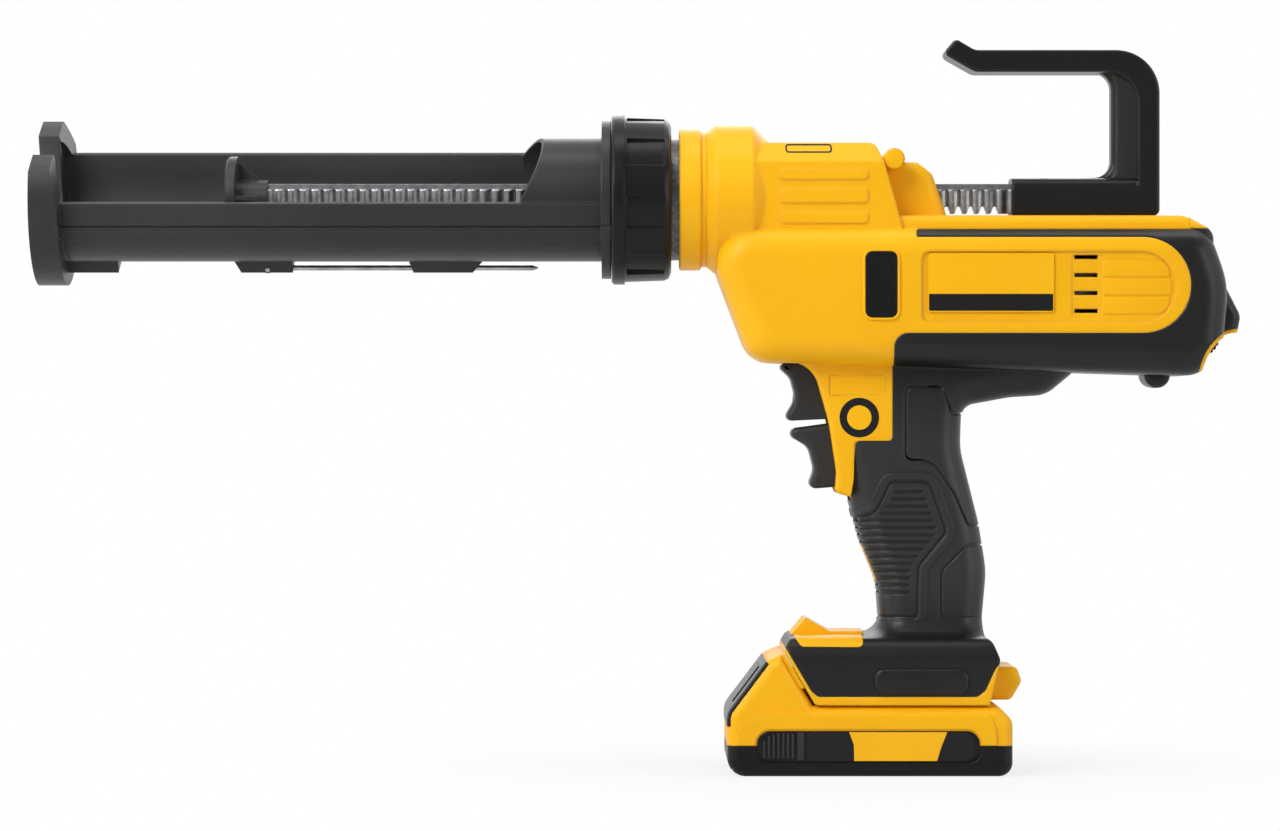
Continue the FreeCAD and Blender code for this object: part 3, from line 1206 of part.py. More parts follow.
def clutch_gear():
    """Large gear that runs free on the pinion shaft until the clutch takes it."""
    points = spur_points(SPUR_MODULE, SPUR_LARGE_TEETH, 270 + 180 / SPUR_LARGE_TEETH)
    gear = gear_y(points, SPUR_FRONT, SPUR_FRONT + SPUR_FACE, DRIVE_X, PINION_Z)
    return gear.cut(rod_y(SHAFT_R + RUN_GAP, -FAR, FAR, DRIVE_X, PINION_Z))


def cross_shaft():
    """Shaft of the bevel wheel and of the small gear."""
    reach = FRAME_INNER + FRAME_PLATE
    return rod_y(SHAFT_R, -reach, reach, DRIVE_X, MOTOR_Z)


def cross_pinion():
    """Small gear on the cross shaft."""
    points = spur_points(SPUR_MODULE, SPUR_SMALL_TEETH, 90)
    gear = gear_y(points, SPUR_FRONT, SPUR_FRONT + SPUR_FACE, DRIVE_X, MOTOR_Z)
    return gear.cut(rod_y(SHAFT_R + SEAT_GAP, -FAR, FAR, DRIVE_X, MOTOR_Z))


def bevel_wheel():
    """Crown wheel on the cross shaft, its rim turned down to pass the pinion shaft above it."""
    teeth = bevel_gear(
        BEVEL_WHEEL_TEETH, BEVEL_PINION_TEETH, 180 / BEVEL_WHEEL_TEETH,
        lambda u, v, reach: Vector(DRIVE_X + u, reach, MOTOR_Z + v),
    )
    rim_r = PINION_Z - MOTOR_Z - SHAFT_R - SLIDE_GAP
    teeth = teeth.common(rod_y(rim_r, -FAR, FAR, DRIVE_X, MOTOR_Z))
    back_r = BEVEL_WHEEL_R - BEVEL_BACK_STEP
    back = rod_y(back_r, BEVEL_PINION_R, BEVEL_PINION_R + BEVEL_BACK, DRIVE_X, MOTOR_Z)
    hub = rod_y(SHAFT_R + HUB_WALL, BEVEL_PINION_R, SPUR_FRONT, DRIVE_X, MOTOR_Z)
    return joined([teeth, back, hub]).cut(rod_y(SHAFT_R + SEAT_GAP, -FAR, FAR, DRIVE_X, MOTOR_Z))


def bevel_pinion():
    """Small bevel gear on the front end of the drive shaft."""
    teeth = bevel_gear(
        BEVEL_PINION_TEETH, BEVEL_WHEEL_TEETH, 0, lambda u, v, reach: Vector(DRIVE_X + reach, u, MOTOR_Z + v),
    )
    back = DRIVE_X + BEVEL_WHEEL_R
    hub = rod_x(OUTPUT_R + HUB_WALL, back, back + BEVEL_HUB, 0, MOTOR_Z)
    return joined([teeth, hub]).cut(rod_x(OUTPUT_R + SEAT_GAP, -FAR, FAR, 0, MOTOR_Z))


def frame_outline():
    """Outline of the plates that carry the two cross shafts."""
    return (
        (DRIVE_X - FRAME_EDGE, MOTOR_Z - FRAME_EDGE, FRAME_CORNER),
        (DRIVE_X + FRAME_EDGE, MOTOR_Z - FRAME_EDGE, FRAME_CORNER),
        (DRIVE_X + FRAME_EDGE, PINION_Z + FRAME_EDGE, FRAME_CORNER),
        (DRIVE_X - FRAME_EDGE, PINION_Z + FRAME_EDGE, FRAME_CORNER),
    )


def gear_frame(side):
    """Plate on one side that carries the two cross shafts in its bush holes."""
    low, high = sorted((side * FRAME_INNER, side * (FRAME_INNER + FRAME_PLATE)))
    plate = slab(frame_outline(), low, high)
    hole_r = SHAFT_R + BUSH_WALL + SEAT_GAP
    return plate.cut([rod_y(hole_r, low - LAP, high + LAP, DRIVE_X, z) for z in (MOTOR_Z, PINION_Z)])


def shaft_bushes():
    """Plain bushes of both cross shafts and of the drive shaft."""
    bushes = []
    for z in (MOTOR_Z, PINION_Z):
        bore = rod_y(SHAFT_R + RUN_GAP, -FAR, FAR, DRIVE_X, z)
        bushes += both_sides(
            lambda low, high, z=z, bore=bore: rod_y(SHAFT_R + BUSH_WALL, low, high, DRIVE_X, z).cut(bore),
            FRAME_INNER, FRAME_INNER + FRAME_PLATE,
        )
    case_rear = CASE_FRONT + CASE_WALL
    bushes.append(tube_x(OUTPUT_R + BUSH_WALL, OUTPUT_R + RUN_GAP, CASE_FRONT, case_rear, MOTOR_Z))
    return Part.makeCompound(bushes)


def planet_spots():
    """Angle, Y and Z of each planet."""
    spots = []
    for index in range(PLANETS):
        angle = 90 + index * 360 / PLANETS
        turn = math.radians(angle)
        spots.append((angle, PLANET_ORBIT * math.cos(turn), MOTOR_Z + PLANET_ORBIT * math.sin(turn)))
    return spots


def planet_carrier():
    """Disc with the planet pins and the drive shaft."""
    disc_rear = PLANET_FRONT - RUN_GAP * 4
    solids = [
        rod_x(PLANET_ORBIT + PLANET_PIN_R + CARRIER_RIM, disc_rear - CARRIER_DISC, disc_rear, 0, MOTOR_Z),
        rod_x(OUTPUT_R, OUTPUT_FRONT, disc_rear - LAP, 0, MOTOR_Z),
    ]
    for _, y, z in planet_spots():
        solids.append(rod_x(PLANET_PIN_R, disc_rear - LAP, RING_BACK, y, z))
    return joined(solids)


def planet_gear(angle, y, z):
    """Planet on its carrier pin."""
    points = spur_points(PLANET_MODULE, PLANET_TEETH, angle + 180 + 180 / PLANET_TEETH)
    gear = gear_x(points, PLANET_FRONT, RING_BACK, y, z)
    return gear.cut(rod_x(PLANET_PIN_R + RUN_GAP, -FAR, FAR, y, z))


def ring_gear():
    """Fixed toothed ring round the planets."""
    pitch_r = PLANET_MODULE * RING_TEETH / 2
    deep, shallow = pitch_r + (ADDENDUM + TOOTH_ROOM) * PLANET_MODULE, pitch_r - ADDENDUM * PLANET_MODULE
    points = gear_points(PLANET_MODULE, RING_TEETH, deep, shallow, 2 - TOOTH_SHARE, 180 / RING_TEETH)
    blank = rod_x(RING_R_OUT, PLANET_FRONT, RING_BACK, 0, MOTOR_Z)
    return blank.cut(gear_x(points, PLANET_FRONT - LAP, RING_BACK + LAP, 0, MOTOR_Z))


def gear_case():
    """Cup round the planet stage, closed by the motor."""
    cup = rod_x(CASE_R, CASE_FRONT, MOTOR_FRONT, 0, MOTOR_Z)
    return cup.cut([
        rod_x(RING_R_OUT + SEAT_GAP, CASE_FRONT + CASE_WALL, MOTOR_FRONT + LAP, 0, MOTOR_Z),
        rod_x(OUTPUT_R + BUSH_WALL + SEAT_GAP, CASE_FRONT - LAP, CASE_FRONT + CASE_WALL + LAP, 0, MOTOR_Z),
    ])


def motor_can():
    """Steel can with the front bearing seat and a flange that closes the gear case."""
    can = rod_x(MOTOR_R, MOTOR_FRONT, MOTOR_REAR, 0, MOTOR_Z)
    flange = rod_x(CASE_R, MOTOR_FRONT, MOTOR_FRONT + MOTOR_WALL, 0, MOTOR_Z)
    hollow = rod_x(MOTOR_R - MOTOR_WALL, MOTOR_FRONT + BEARING_LENGTH, MOTOR_REAR + LAP, 0, MOTOR_Z)
    seat = rod_x(BEARING_R + SEAT_GAP, MOTOR_FRONT - LAP, MOTOR_FRONT + BEARING_LENGTH + LAP, 0, MOTOR_Z)
    return joined([can, flange]).cut([hollow, seat])


def motor_magnets():
    """Two curved magnets inside the can."""
    inner = ROTOR_R + ROTOR_GAP
    ring = tube_x(MOTOR_R - MOTOR_WALL - SEAT_GAP, inner, *rotor_span(), MOTOR_Z)
    gap = box(-FAR, FAR, -FAR, FAR, MOTOR_Z - MAGNET_GAP, MOTOR_Z + MAGNET_GAP)
    return Part.makeCompound(ring.cut(gap).Solids)


def rotor_span():
    """Front and rear of the wound part of the rotor."""
    front = MOTOR_FRONT + BEARING_LENGTH + ROTOR_SET
    return front, front + ROTOR_LENGTH


def motor_rotor():
    """Rotor with its shaft and commutator."""
    front, rear = rotor_span()
    return joined([
        rod_x(ROTOR_R, front, rear, 0, MOTOR_Z),
        rod_x(ROTOR_R / 2, rear - LAP, MOTOR_REAR - LAP, 0, MOTOR_Z),
        rod_x(ROTOR_SHAFT_R, PLANET_FRONT, MOTOR_REAR + BEARING_LENGTH, 0, MOTOR_Z),
    ])


def sun_pinion():
    """Gear on the motor shaft."""
    gear = gear_x(spur_points(PLANET_MODULE, SUN_TEETH, 0), PLANET_FRONT, RING_BACK, 0, MOTOR_Z)
    return gear.cut(rod_x(ROTOR_SHAFT_R + SEAT_GAP, -FAR, FAR, 0, MOTOR_Z))


def motor_end_cap():
    """Cap that closes the motor and seats its rear bearing."""
    cap = rod_x(MOTOR_R, MOTOR_REAR, MOTOR_REAR + MOTOR_CAP, 0, MOTOR_Z)
    return cap.cut(rod_x(BEARING_R + SEAT_GAP, MOTOR_REAR - LAP, MOTOR_REAR + BEARING_LENGTH, 0, MOTOR_Z))


def motor_bearings():
    """Front and rear bearings of the motor shaft."""
    fronts = (MOTOR_FRONT, MOTOR_REAR)
    return Part.makeCompound([
        tube_x(BEARING_R, ROTOR_SHAFT_R + RUN_GAP, x, x + BEARING_LENGTH, MOTOR_Z) for x in fronts
    ])


def guide_block(gap):
    """Outer form of the rear rack guide, grown by a gap."""
    return rack_hole(REAR_GUIDE_X - gap, REAR_GUIDE_X + REAR_GUIDE_LENGTH + gap, GUIDE_WALL + gap)


def rack_guides():
    """Plain guides of the rack in the sleeve and in the rear of the housing."""
    front = rod_x(SLEEVE_BORE_R - SEAT_GAP, FRONT_GUIDE_X, FRONT_GUIDE_X + FRONT_GUIDE_LENGTH, 0, BARREL_Z)
    return Part.makeCompound([
        front.cut(rack_hole(-FAR, FAR, RUN_GAP)),
        guide_block(0.0).cut(rack_hole(-FAR, FAR, RUN_GAP)),
    ])


# Supply
def blade_bar(gap):
    """Contact blades as one comb of bars, grown by a gap."""
    bars = []
    for index in range(BLADES):
        y = (index - (BLADES - 1) / 2) * BLADE_STEP
        half = BLADE_THICK / 2 + gap
        bars.append(box(BLADE_X, BLADE_X + BLADE_LENGTH, y - half, y + half, BLADE_LOW, FLOOR_TOP + LAP))
    return Part.makeCompound(bars)


def terminal_block():
    """Contact block on the floor of the foot, with its blades."""
    front, rear = BLADE_X - TERMINAL_EDGE, BLADE_X + BLADE_LENGTH + TERMINAL_EDGE
    block = box(front, rear, -TERMINAL_HALF, TERMINAL_HALF, FLOOR_TOP, FLOOR_TOP + TERMINAL_HEIGHT)
    return joined([block] + blade_bar(0.0).Solids)


def lead_path(radius):
    """Two straight leads from the terminal block to the switch."""
    start = Vector(BLADE_X + BLADE_LENGTH / 2, 0, FLOOR_TOP + TERMINAL_HEIGHT)
    end = Vector(SWITCH_FRONT + SWITCH_LENGTH / 2, 0, SWITCH_TOP - SWITCH_HEIGHT)
    along = (end - start).normalize()
    length = (end - start).Length + 2 * LEAD_LAP
    leads = []
    for side in (-LEAD_Y, LEAD_Y):
        first = start + Vector(0, side, 0) - along * LEAD_LAP
        lead = Part.makeCylinder(radius, length, first, along)
        leads.append(lead.common(box(-FAR, FAR, -FAR, FAR, start.z, end.z)))
    return Part.makeCompound(leads)


def power_leads():
    """Leads between the terminal block and the switch."""
    return lead_path(LEAD_R)


def rear_recess(grow):
    """Pocket in the rear of the pack round the latch, grown by a wall."""
    room = SLIDE_GAP + grow
    half = LATCH_HALF + room
    rear = PACK_HALF_X if grow else PACK_HALF_X + LAP
    return box(LATCH_X - LATCH_TRAVEL - room, rear, -half, half, LATCH_LOW - room, LATCH_HIGH + room)


def pack_bosses(radius, low, high):
    """Posts at the pack's corners for its screws."""
    posts = []
    for x in (-PACK_BOSS_X, PACK_BOSS_X):
        for y in (-PACK_BOSS_Y, PACK_BOSS_Y):
            posts.append(Part.makeCylinder(radius, high - low, Vector(x, y, low)))
    return posts


def battery_upper():
    """Upper shell of the pack with the tower that slides into the foot."""
    def seam(place):
        return place.z < PACK_SPLIT + EDGE_TOLERANCE or (place.z > FOOT_Z and place.x > PACK_UPPER[2][0])
    outer = puff(PACK_UPPER, PACK_HALF, PACK_EDGE, 0.0, seam)
    inner = puff(PACK_UPPER, PACK_HALF, 0, PACK_WALL)
    reach, side = PACK_HALF_X - PACK_WALL, PACK_HALF - PACK_WALL
    under = box(-reach, reach, -side, side, 0, PACK_SPLIT + PACK_WALL + EDGE_TOLERANCE)
    tower = box(TOWER_FRONT, TOWER_REAR, -TOWER_HALF, TOWER_HALF, FOOT_Z - PACK_GAP - LAP, TOWER_TOP)
    room = SLIDE_GAP
    cuts = []
    for side in (-1, 1):
        inside, outside = sorted((side * (TOWER_HALF - RAIL_BITE - room), side * (TOWER_HALF + LAP)))
        groove = (RAIL_LOW - room, RAIL_HIGH + room)
        cuts.append(box(RAIL_FRONT - room, TOWER_REAR + LAP, inside, outside, *groove))
    for bar in blade_bar(room).Solids:
        span = bar.BoundBox
        cuts.append(box(BLADE_X - room, FAR, span.YMin, span.YMax, BLADE_LOW - room, FAR))
    corners = [post.common(outer) for post in pack_bosses(PACK_BOSS_R, PACK_SPLIT, TOWER_TOP)]
    pocket = rear_recess(PACK_WALL).common(outer)
    shell = joined([outer.cut([inner, under]), tower, pocket] + corners)
    holes = pack_bosses(SCREW_R + SEAT_GAP, 0, PACK_SPLIT + PACK_SCREW - LAP)
    return shell.cut(cuts + holes + [rear_recess(0)]).common(box(-FAR, FAR, -FAR, FAR, PACK_SPLIT, FAR))


def battery_lower():
    """Lower shell of the pack."""
    outer = puff(PACK_LOWER, PACK_HALF, PACK_EDGE, 0.0, lambda place: place.z > PACK_SPLIT - EDGE_TOLERANCE)
    side = PACK_HALF - PACK_WALL
    inner = box(-PACK_HALF_X + PACK_WALL, PACK_HALF_X - PACK_WALL, -side, side, PACK_WALL, PACK_SPLIT + LAP)
    corners = pack_bosses(PACK_BOSS_R, LAP, PACK_SPLIT)
    pocket = rear_recess(PACK_WALL).common(outer)
    wells = pack_bosses(SCREW_HEAD_R + SEAT_GAP, -LAP, PACK_WELL)
    holes = pack_bosses(SCREW_R + SEAT_GAP, 0, FAR / 8)
    shell = joined([outer.cut(inner), pocket] + corners)
    return shell.cut(wells + holes + [rear_recess(0)])


def battery_screws():
    """Screws that hold the pack together from below."""
    heads = pack_bosses(SCREW_HEAD_R, PACK_WELL - SCREW_HEAD / 2, PACK_WELL)
    shanks = pack_bosses(SCREW_R, PACK_WELL, PACK_SPLIT + PACK_SCREW - 2 * LAP)
    return Part.makeCompound([joined([head, shank]) for head, shank in zip(heads, shanks)])


def cell_spots():
    """Middle X of each cell."""
    return [(index - (CELLS - 1) / 2) * CELL_PITCH for index in range(CELLS)]


def battery_cells():
    """Row of round cells across the pack."""
    half, z = CELL_LENGTH / 2, PACK_WALL + CELL_R + SEAT_GAP
    return Part.makeCompound([rod_y(CELL_R, -half, half, x, z) for x in cell_spots()])


def battery_board():
    """Circuit board that lies on the cells."""
    low = PACK_WALL + 2 * (CELL_R + SEAT_GAP)
    reach = cell_spots()[-1]
    return box(-reach, reach, -BOARD_HALF, BOARD_HALF, low, low + BOARD_THICK)


def battery_bars():
    """Side bars of the pack."""
    front, rear = BAR_FRONT_SET - PACK_HALF_X, PACK_HALF_X - BAR_REAR_SET
    low, high = BAR_Z
    corners = [(x, z, BAR_CORNER) for x, z in ((front, low), (rear, low), (rear, high), (front, high))]
    bars = both_sides(lambda near, far: slab(corners, near, far), PACK_HALF, PACK_HALF + BAR_PROUD)
    return Part.makeCompound(bars)


def battery_latch():
    """Press button in the rear of the pack."""
    body = box(LATCH_X, PACK_HALF_X + LATCH_PROUD, -LATCH_HALF, LATCH_HALF, LATCH_LOW, LATCH_HIGH)
    step = (LATCH_HIGH - LATCH_LOW) / (LATCH_RIBS + 1)
    face, half = PACK_HALF_X + LATCH_PROUD, LATCH_HALF - LATCH_MARGIN
    grooves = []
    for index in range(LATCH_RIBS):
        z = LATCH_LOW + step * (index + 1)
        grooves.append(box(face - LATCH_GROOVE, face + LAP, -half, half, z - step / 4, z + step / 4))
    return body.cut(grooves)


def gauge_window():
    """Dark window of the charge gauge on the sloped front of the pack."""
    low, high = Vector(*PACK_UPPER[1][:2], 0), Vector(*PACK_UPPER[2][:2], 0)
    along = (high - low).normalize()
    out = Vector(-along.y, along.x, 0) * GAUGE_THICK
    first, last = low + along * GAUGE_START, low + along * (GAUGE_START + GAUGE_LENGTH)
    corners = [(point.x, point.y, 0) for point in (first, last, last + out, first + out)]
    return slab(corners, -GAUGE_HALF, GAUGE_HALF)


def nodes():
    """Every piece with its name."""
    left, right, left_skin, right_skin = housing()
    pieces = {
        "housing_left": left,
        "housing_right": right,
        "overmould_left": left_skin,
        "overmould_right": right_skin,
        "gear_frame_left": gear_frame(-1),
        "gear_frame_right": gear_frame(1),
        "rod_screws": Part.makeCompound([plunger_screw(), handle_screw()]),
    }
    for index, spot in enumerate(planet_spots()):
        pieces["planet_gear_%d" % (index + 1)] = planet_gear(*spot)
    makers = (
        carriage, piercing_rod, piercing_rod_pin, retaining_ring, thrust_washer, collar_nut, mount_sleeve,
        nose_ring, feed_rack, plunger, rod_handle, side_plates, housing_screws, foot_guard, speed_trigger,
        trigger_spring, release_trigger, hinge_pins, lock_off_button, speed_dial, switch_module, feed_pinion,
        feed_shaft, clutch_gear, cross_shaft, cross_pinion, bevel_wheel, bevel_pinion, shaft_bushes,
        planet_carrier, ring_gear, gear_case, motor_can, motor_magnets, motor_rotor, sun_pinion,
        motor_end_cap, motor_bearings, rack_guides, terminal_block, power_leads, battery_upper, battery_lower,
        battery_screws, battery_cells, battery_board, battery_bars, battery_latch, gauge_window,
    )
    for maker in makers:
        pieces[maker.__name__] = maker()
    return pieces


if __name__ == "__main__":
    os.makedirs("parts", exist_ok=True)
    for name, shape in nodes().items():
        shape.exportStep("parts/%s.step" % name)
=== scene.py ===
"""Dress of a cordless caulking tool: shells, soft grip, open trough, toothed rod and slide-on pack."""

import json
import logging
import math
from contextlib import contextmanager
from dataclasses import dataclass, replace
from enum import Enum
from functools import cache
from typing import Callable, Iterator, Optional, Sequence, Union

import bpy
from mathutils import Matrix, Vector


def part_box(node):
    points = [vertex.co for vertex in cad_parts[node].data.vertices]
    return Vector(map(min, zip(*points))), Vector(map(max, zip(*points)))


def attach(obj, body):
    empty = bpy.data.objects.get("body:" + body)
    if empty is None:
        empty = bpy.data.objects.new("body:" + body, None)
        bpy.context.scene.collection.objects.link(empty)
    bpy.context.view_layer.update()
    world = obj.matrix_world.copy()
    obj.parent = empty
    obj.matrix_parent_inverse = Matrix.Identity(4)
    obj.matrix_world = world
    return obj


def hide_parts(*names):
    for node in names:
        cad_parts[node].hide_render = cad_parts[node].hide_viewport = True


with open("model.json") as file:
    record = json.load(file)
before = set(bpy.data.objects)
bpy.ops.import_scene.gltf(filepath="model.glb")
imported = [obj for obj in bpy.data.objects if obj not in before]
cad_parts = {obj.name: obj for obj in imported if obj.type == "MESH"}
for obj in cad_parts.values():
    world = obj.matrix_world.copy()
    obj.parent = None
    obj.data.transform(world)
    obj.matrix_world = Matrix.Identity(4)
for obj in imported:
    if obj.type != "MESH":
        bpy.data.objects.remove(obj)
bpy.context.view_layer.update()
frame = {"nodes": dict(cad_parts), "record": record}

log = logging.getLogger("caulking_tool")

SMOOTH_ANGLE = math.radians(32.0)
ARC_STEPS = 6
# Lengths in metres: one millimetre, and the distance at which loose corners merge.
MM = 0.001
MERGE = 1e-6
# Lengths in millimetres: reach of a tool, room in a test, way past a cut face and seat of a film.
DEEP = 60.0
NEAR = 0.01
CLEAR = 1.0
FILM_SEAT = 0.2
# Shader values: samples of a rounded edge, range that noise fills and turn of the wave texture in one unit.
EDGE_SAMPLES = 6
NOISE_SPAN = {"From Min": 0.3, "From Max": 0.7}
WAVE_TURN = 20.0
WHITE = (1.0, 1.0, 1.0, 1.0)

Point = tuple[float, float]
Points = Sequence[Point]
Triple = tuple[float, float, float]
Corner = Triple
Outline = tuple[Corner, ...]
Rect = tuple[float, float, float, float, float]
Piece = bpy.types.Object
Tree = bpy.types.NodeTree
Source = Union[bpy.types.Node, bpy.types.NodeSocket]


class Side(Enum):
    """Side of the tool, as the nodes name it."""

    LEFT = "left"
    RIGHT = "right"


class Slot(Enum):
    """Material slots of the record."""

    YELLOW = "yellow_shell"
    BLACK = "black_plastic"
    SOFT = "soft_grip"
    STEEL = "steel"
    CAST = "cast_grey"
    BRONZE = "bronze"
    PLATE = "plate"
    WRAP = "cell_wrap"
    BOARD = "board_green"
    MAGNET = "magnet"
    WINDOW = "window"
    LEAD = "lead_wire"


def linear(code: str) -> tuple[float, float, float, float]:
    """Turn an sRGB hex colour into linear RGBA."""
    shares = [int(code[place:place + 2], 16) / 255 for place in (1, 3, 5)]
    return (*(part / 12.92 if part <= 0.04045 else ((part + 0.055) / 1.055) ** 2.4 for part in shares), 1.0)


def per(size_mm: float) -> float:
    """Scale of a pattern whose marks are this many millimetres wide."""
    return 1.0 / (size_mm * MM)


def add(tree: Tree, kind: str, settings: Optional[dict] = None,
        links: Optional[dict] = None) -> bpy.types.Node:
    """Add a shader node to a tree with its settings and links.

    Args:
        tree: Node tree of the material or world.
        kind: Type name of the node, without the part that all share.
        settings: Attributes, input values by name or place, or "ramp" as a list of places and colours.
        links: Sockets, or nodes for their first output, by the input that they feed.

    Returns:
        The new node.
    """
    made = tree.nodes.new(f"ShaderNode{kind}")
    for name, value in (settings or {}).items():
        if name == "ramp":
            for element, (place, colour) in zip(made.color_ramp.elements, value):
                element.position, element.color = place, colour
        elif isinstance(name, int) or name in made.inputs:
            made.inputs[name].default_value = value
        else:
            setattr(made, name, value)
    for name, source in (links or {}).items():
        socket = source.outputs[0] if isinstance(source, bpy.types.Node) else source
        tree.links.new(socket, made.inputs[name])
    return made


def new_material(name: str) -> bpy.types.Material:
    """Make an empty node material.

    Args:
        name: Name of the material.

    Returns:
        The new material.
    """
    material = bpy.data.materials.new(name)
    material.use_nodes = True
    material.node_tree.nodes.clear()
    return material


@dataclass(frozen=True)
class Moulding:
    """Finish of a moulded plastic or rubber surface.

    The flow of the melt gives broad, faint shades, the eroded mould gives a fine grain, and edges are
    rounded and painted a little lighter, partly as wear and partly as a painted highlight.
    """

    name: str
    slot: Slot
    tone: str
    shade: str
    # Colour painted on rounded edges: partly wear, partly a painted highlight.
    worn_lit_edge_tone: str
    roughness: float
    spread: float = 0.06
    grain_mm: float = 0.5
    grain_depth_mm: float = 0.02
    grain_strength: float = 0.25
    flow_mm: float = 45.0
    edge_mm: float = 0.6
    worn_lit_edge_share: float = 0.35
    worn_lit_edge_span: Point = (0.85, 0.99)
    ior: float = 1.5
    specular: float = 0.5
    # Inner walls of the trough painted lighter: painted light.
    inner_wall_light_tone: Optional[str] = None
    inner_wall_light_axis_mm: float = 0.0
    inner_wall_light_span: Point = (-0.15, -0.45)
    # A band of heights painted lighter: a painted highlight.
    band_highlight_tone: Optional[str] = None
    band_highlight_mm: Point = (0.0, 0.0)
    band_highlight_fade_mm: float = 12.0

    def band_highlight(self, tree: Tree) -> Source:
        """Find the range of heights that is painted lighter as a painted highlight.

        Args:
            tree: Node tree of the material.

        Returns:
            The node with the share of the painted highlight.
        """
        place = add(tree, "TexCoord").outputs["Object"]
        height = add(tree, "SeparateXYZ", {}, {0: place}).outputs["Z"]
        low, high = (edge * MM for edge in self.band_highlight_mm)
        fade = self.band_highlight_fade_mm * MM
        above = add(tree, "MapRange", {"From Min": low - fade, "From Max": low + fade}, {"Value": height})
        below = add(tree, "MapRange", {"From Min": high + fade, "From Max": high - fade}, {"Value": height})
        return add(tree, "Math", {"operation": "MULTIPLY"}, {0: above, 1: below})

    def inner_wall_light(self, tree: Tree) -> Source:
        """Find the walls that face a lengthwise axis, which are painted lighter as painted light.

        Args:
            tree: Node tree of the material.

        Returns:
            The node with the share of painted light on the inner walls.
        """
        place = add(tree, "TexCoord").outputs
        around = add(tree, "Mapping",
                     {"Location": (0.0, 0.0, -self.inner_wall_light_axis_mm * MM), "Scale": (0.0, 1.0, 1.0)},
                     {"Vector": place["Object"]})
        radial = add(tree, "VectorMath", {"operation": "NORMALIZE"}, {0: around})
        turned = add(tree, "VectorMath", {"operation": "DOT_PRODUCT"}, {0: radial, 1: place["Normal"]})
        aside, facing = self.inner_wall_light_span
        return add(tree, "MapRange", {"From Min": aside, "From Max": facing},
                   {"Value": turned.outputs["Value"]})

    def make(self) -> bpy.types.Material:
        """Build the node material of this finish.

        Returns:
            The new material.
        """
        material = new_material(self.name)
        tree = material.node_tree
        place = add(tree, "TexCoord").outputs["Object"]
        flow = add(tree, "TexNoise", {"Scale": per(self.flow_mm), "Detail": 3.0}, {"Vector": place})
        grain = add(tree, "TexNoise", {"Scale": per(self.grain_mm), "Detail": 3.0, "Roughness": 0.6},
                    {"Vector": place})
        round_edge = add(tree, "Bevel", {"samples": EDGE_SAMPLES, "Radius": self.edge_mm * MM})
        surface = add(tree, "NewGeometry")
        facing = add(tree, "VectorMath", {"operation": "DOT_PRODUCT"},
                     {0: round_edge, 1: surface.outputs["Normal"]})
        # Rounded edges are painted lighter: partly wear, partly a painted highlight.
        bent, flat = self.worn_lit_edge_span
        worn_lit_edge = add(tree, "MapRange", {"From Min": bent, "From Max": flat, "To Min": self.worn_lit_edge_share, "To Max": 0.0},
                   {"Value": facing.outputs["Value"]})
        tone = add(tree, "ValToRGB", {"ramp": [(0.32, linear(self.shade)), (0.62, linear(self.tone))]},
                   {"Fac": flow})
        tints = [(self.worn_lit_edge_tone, worn_lit_edge)]
        # Inner walls painted lighter grey: painted light in the trough.
        if self.inner_wall_light_tone:
            tints.append((self.inner_wall_light_tone, self.inner_wall_light(tree)))
        # A band of heights painted greyer: a painted highlight.
        if self.band_highlight_tone:
            tints.append((self.band_highlight_tone, self.band_highlight(tree)))
        skin = tone
        for tint, share in tints:
            skin = add(tree, "Mix", {"data_type": "RGBA", 7: linear(tint)}, {0: share, 6: skin}).outputs[2]
        low, high = self.roughness - self.spread, self.roughness + self.spread
        gloss = add(tree, "MapRange", {**NOISE_SPAN, "To Min": low, "To Max": high}, {"Value": grain})
        relief = add(tree, "Bump", {"Strength": self.grain_strength, "Distance": self.grain_depth_mm * MM},
                     {"Height": grain, "Normal": round_edge})
        shader = add(tree, "BsdfPrincipled", {"IOR": self.ior, "Specular IOR Level": self.specular},
                     {"Base Color": skin, "Roughness": gloss, "Normal": relief})
        add(tree, "OutputMaterial", {}, {"Surface": shader})
        return material


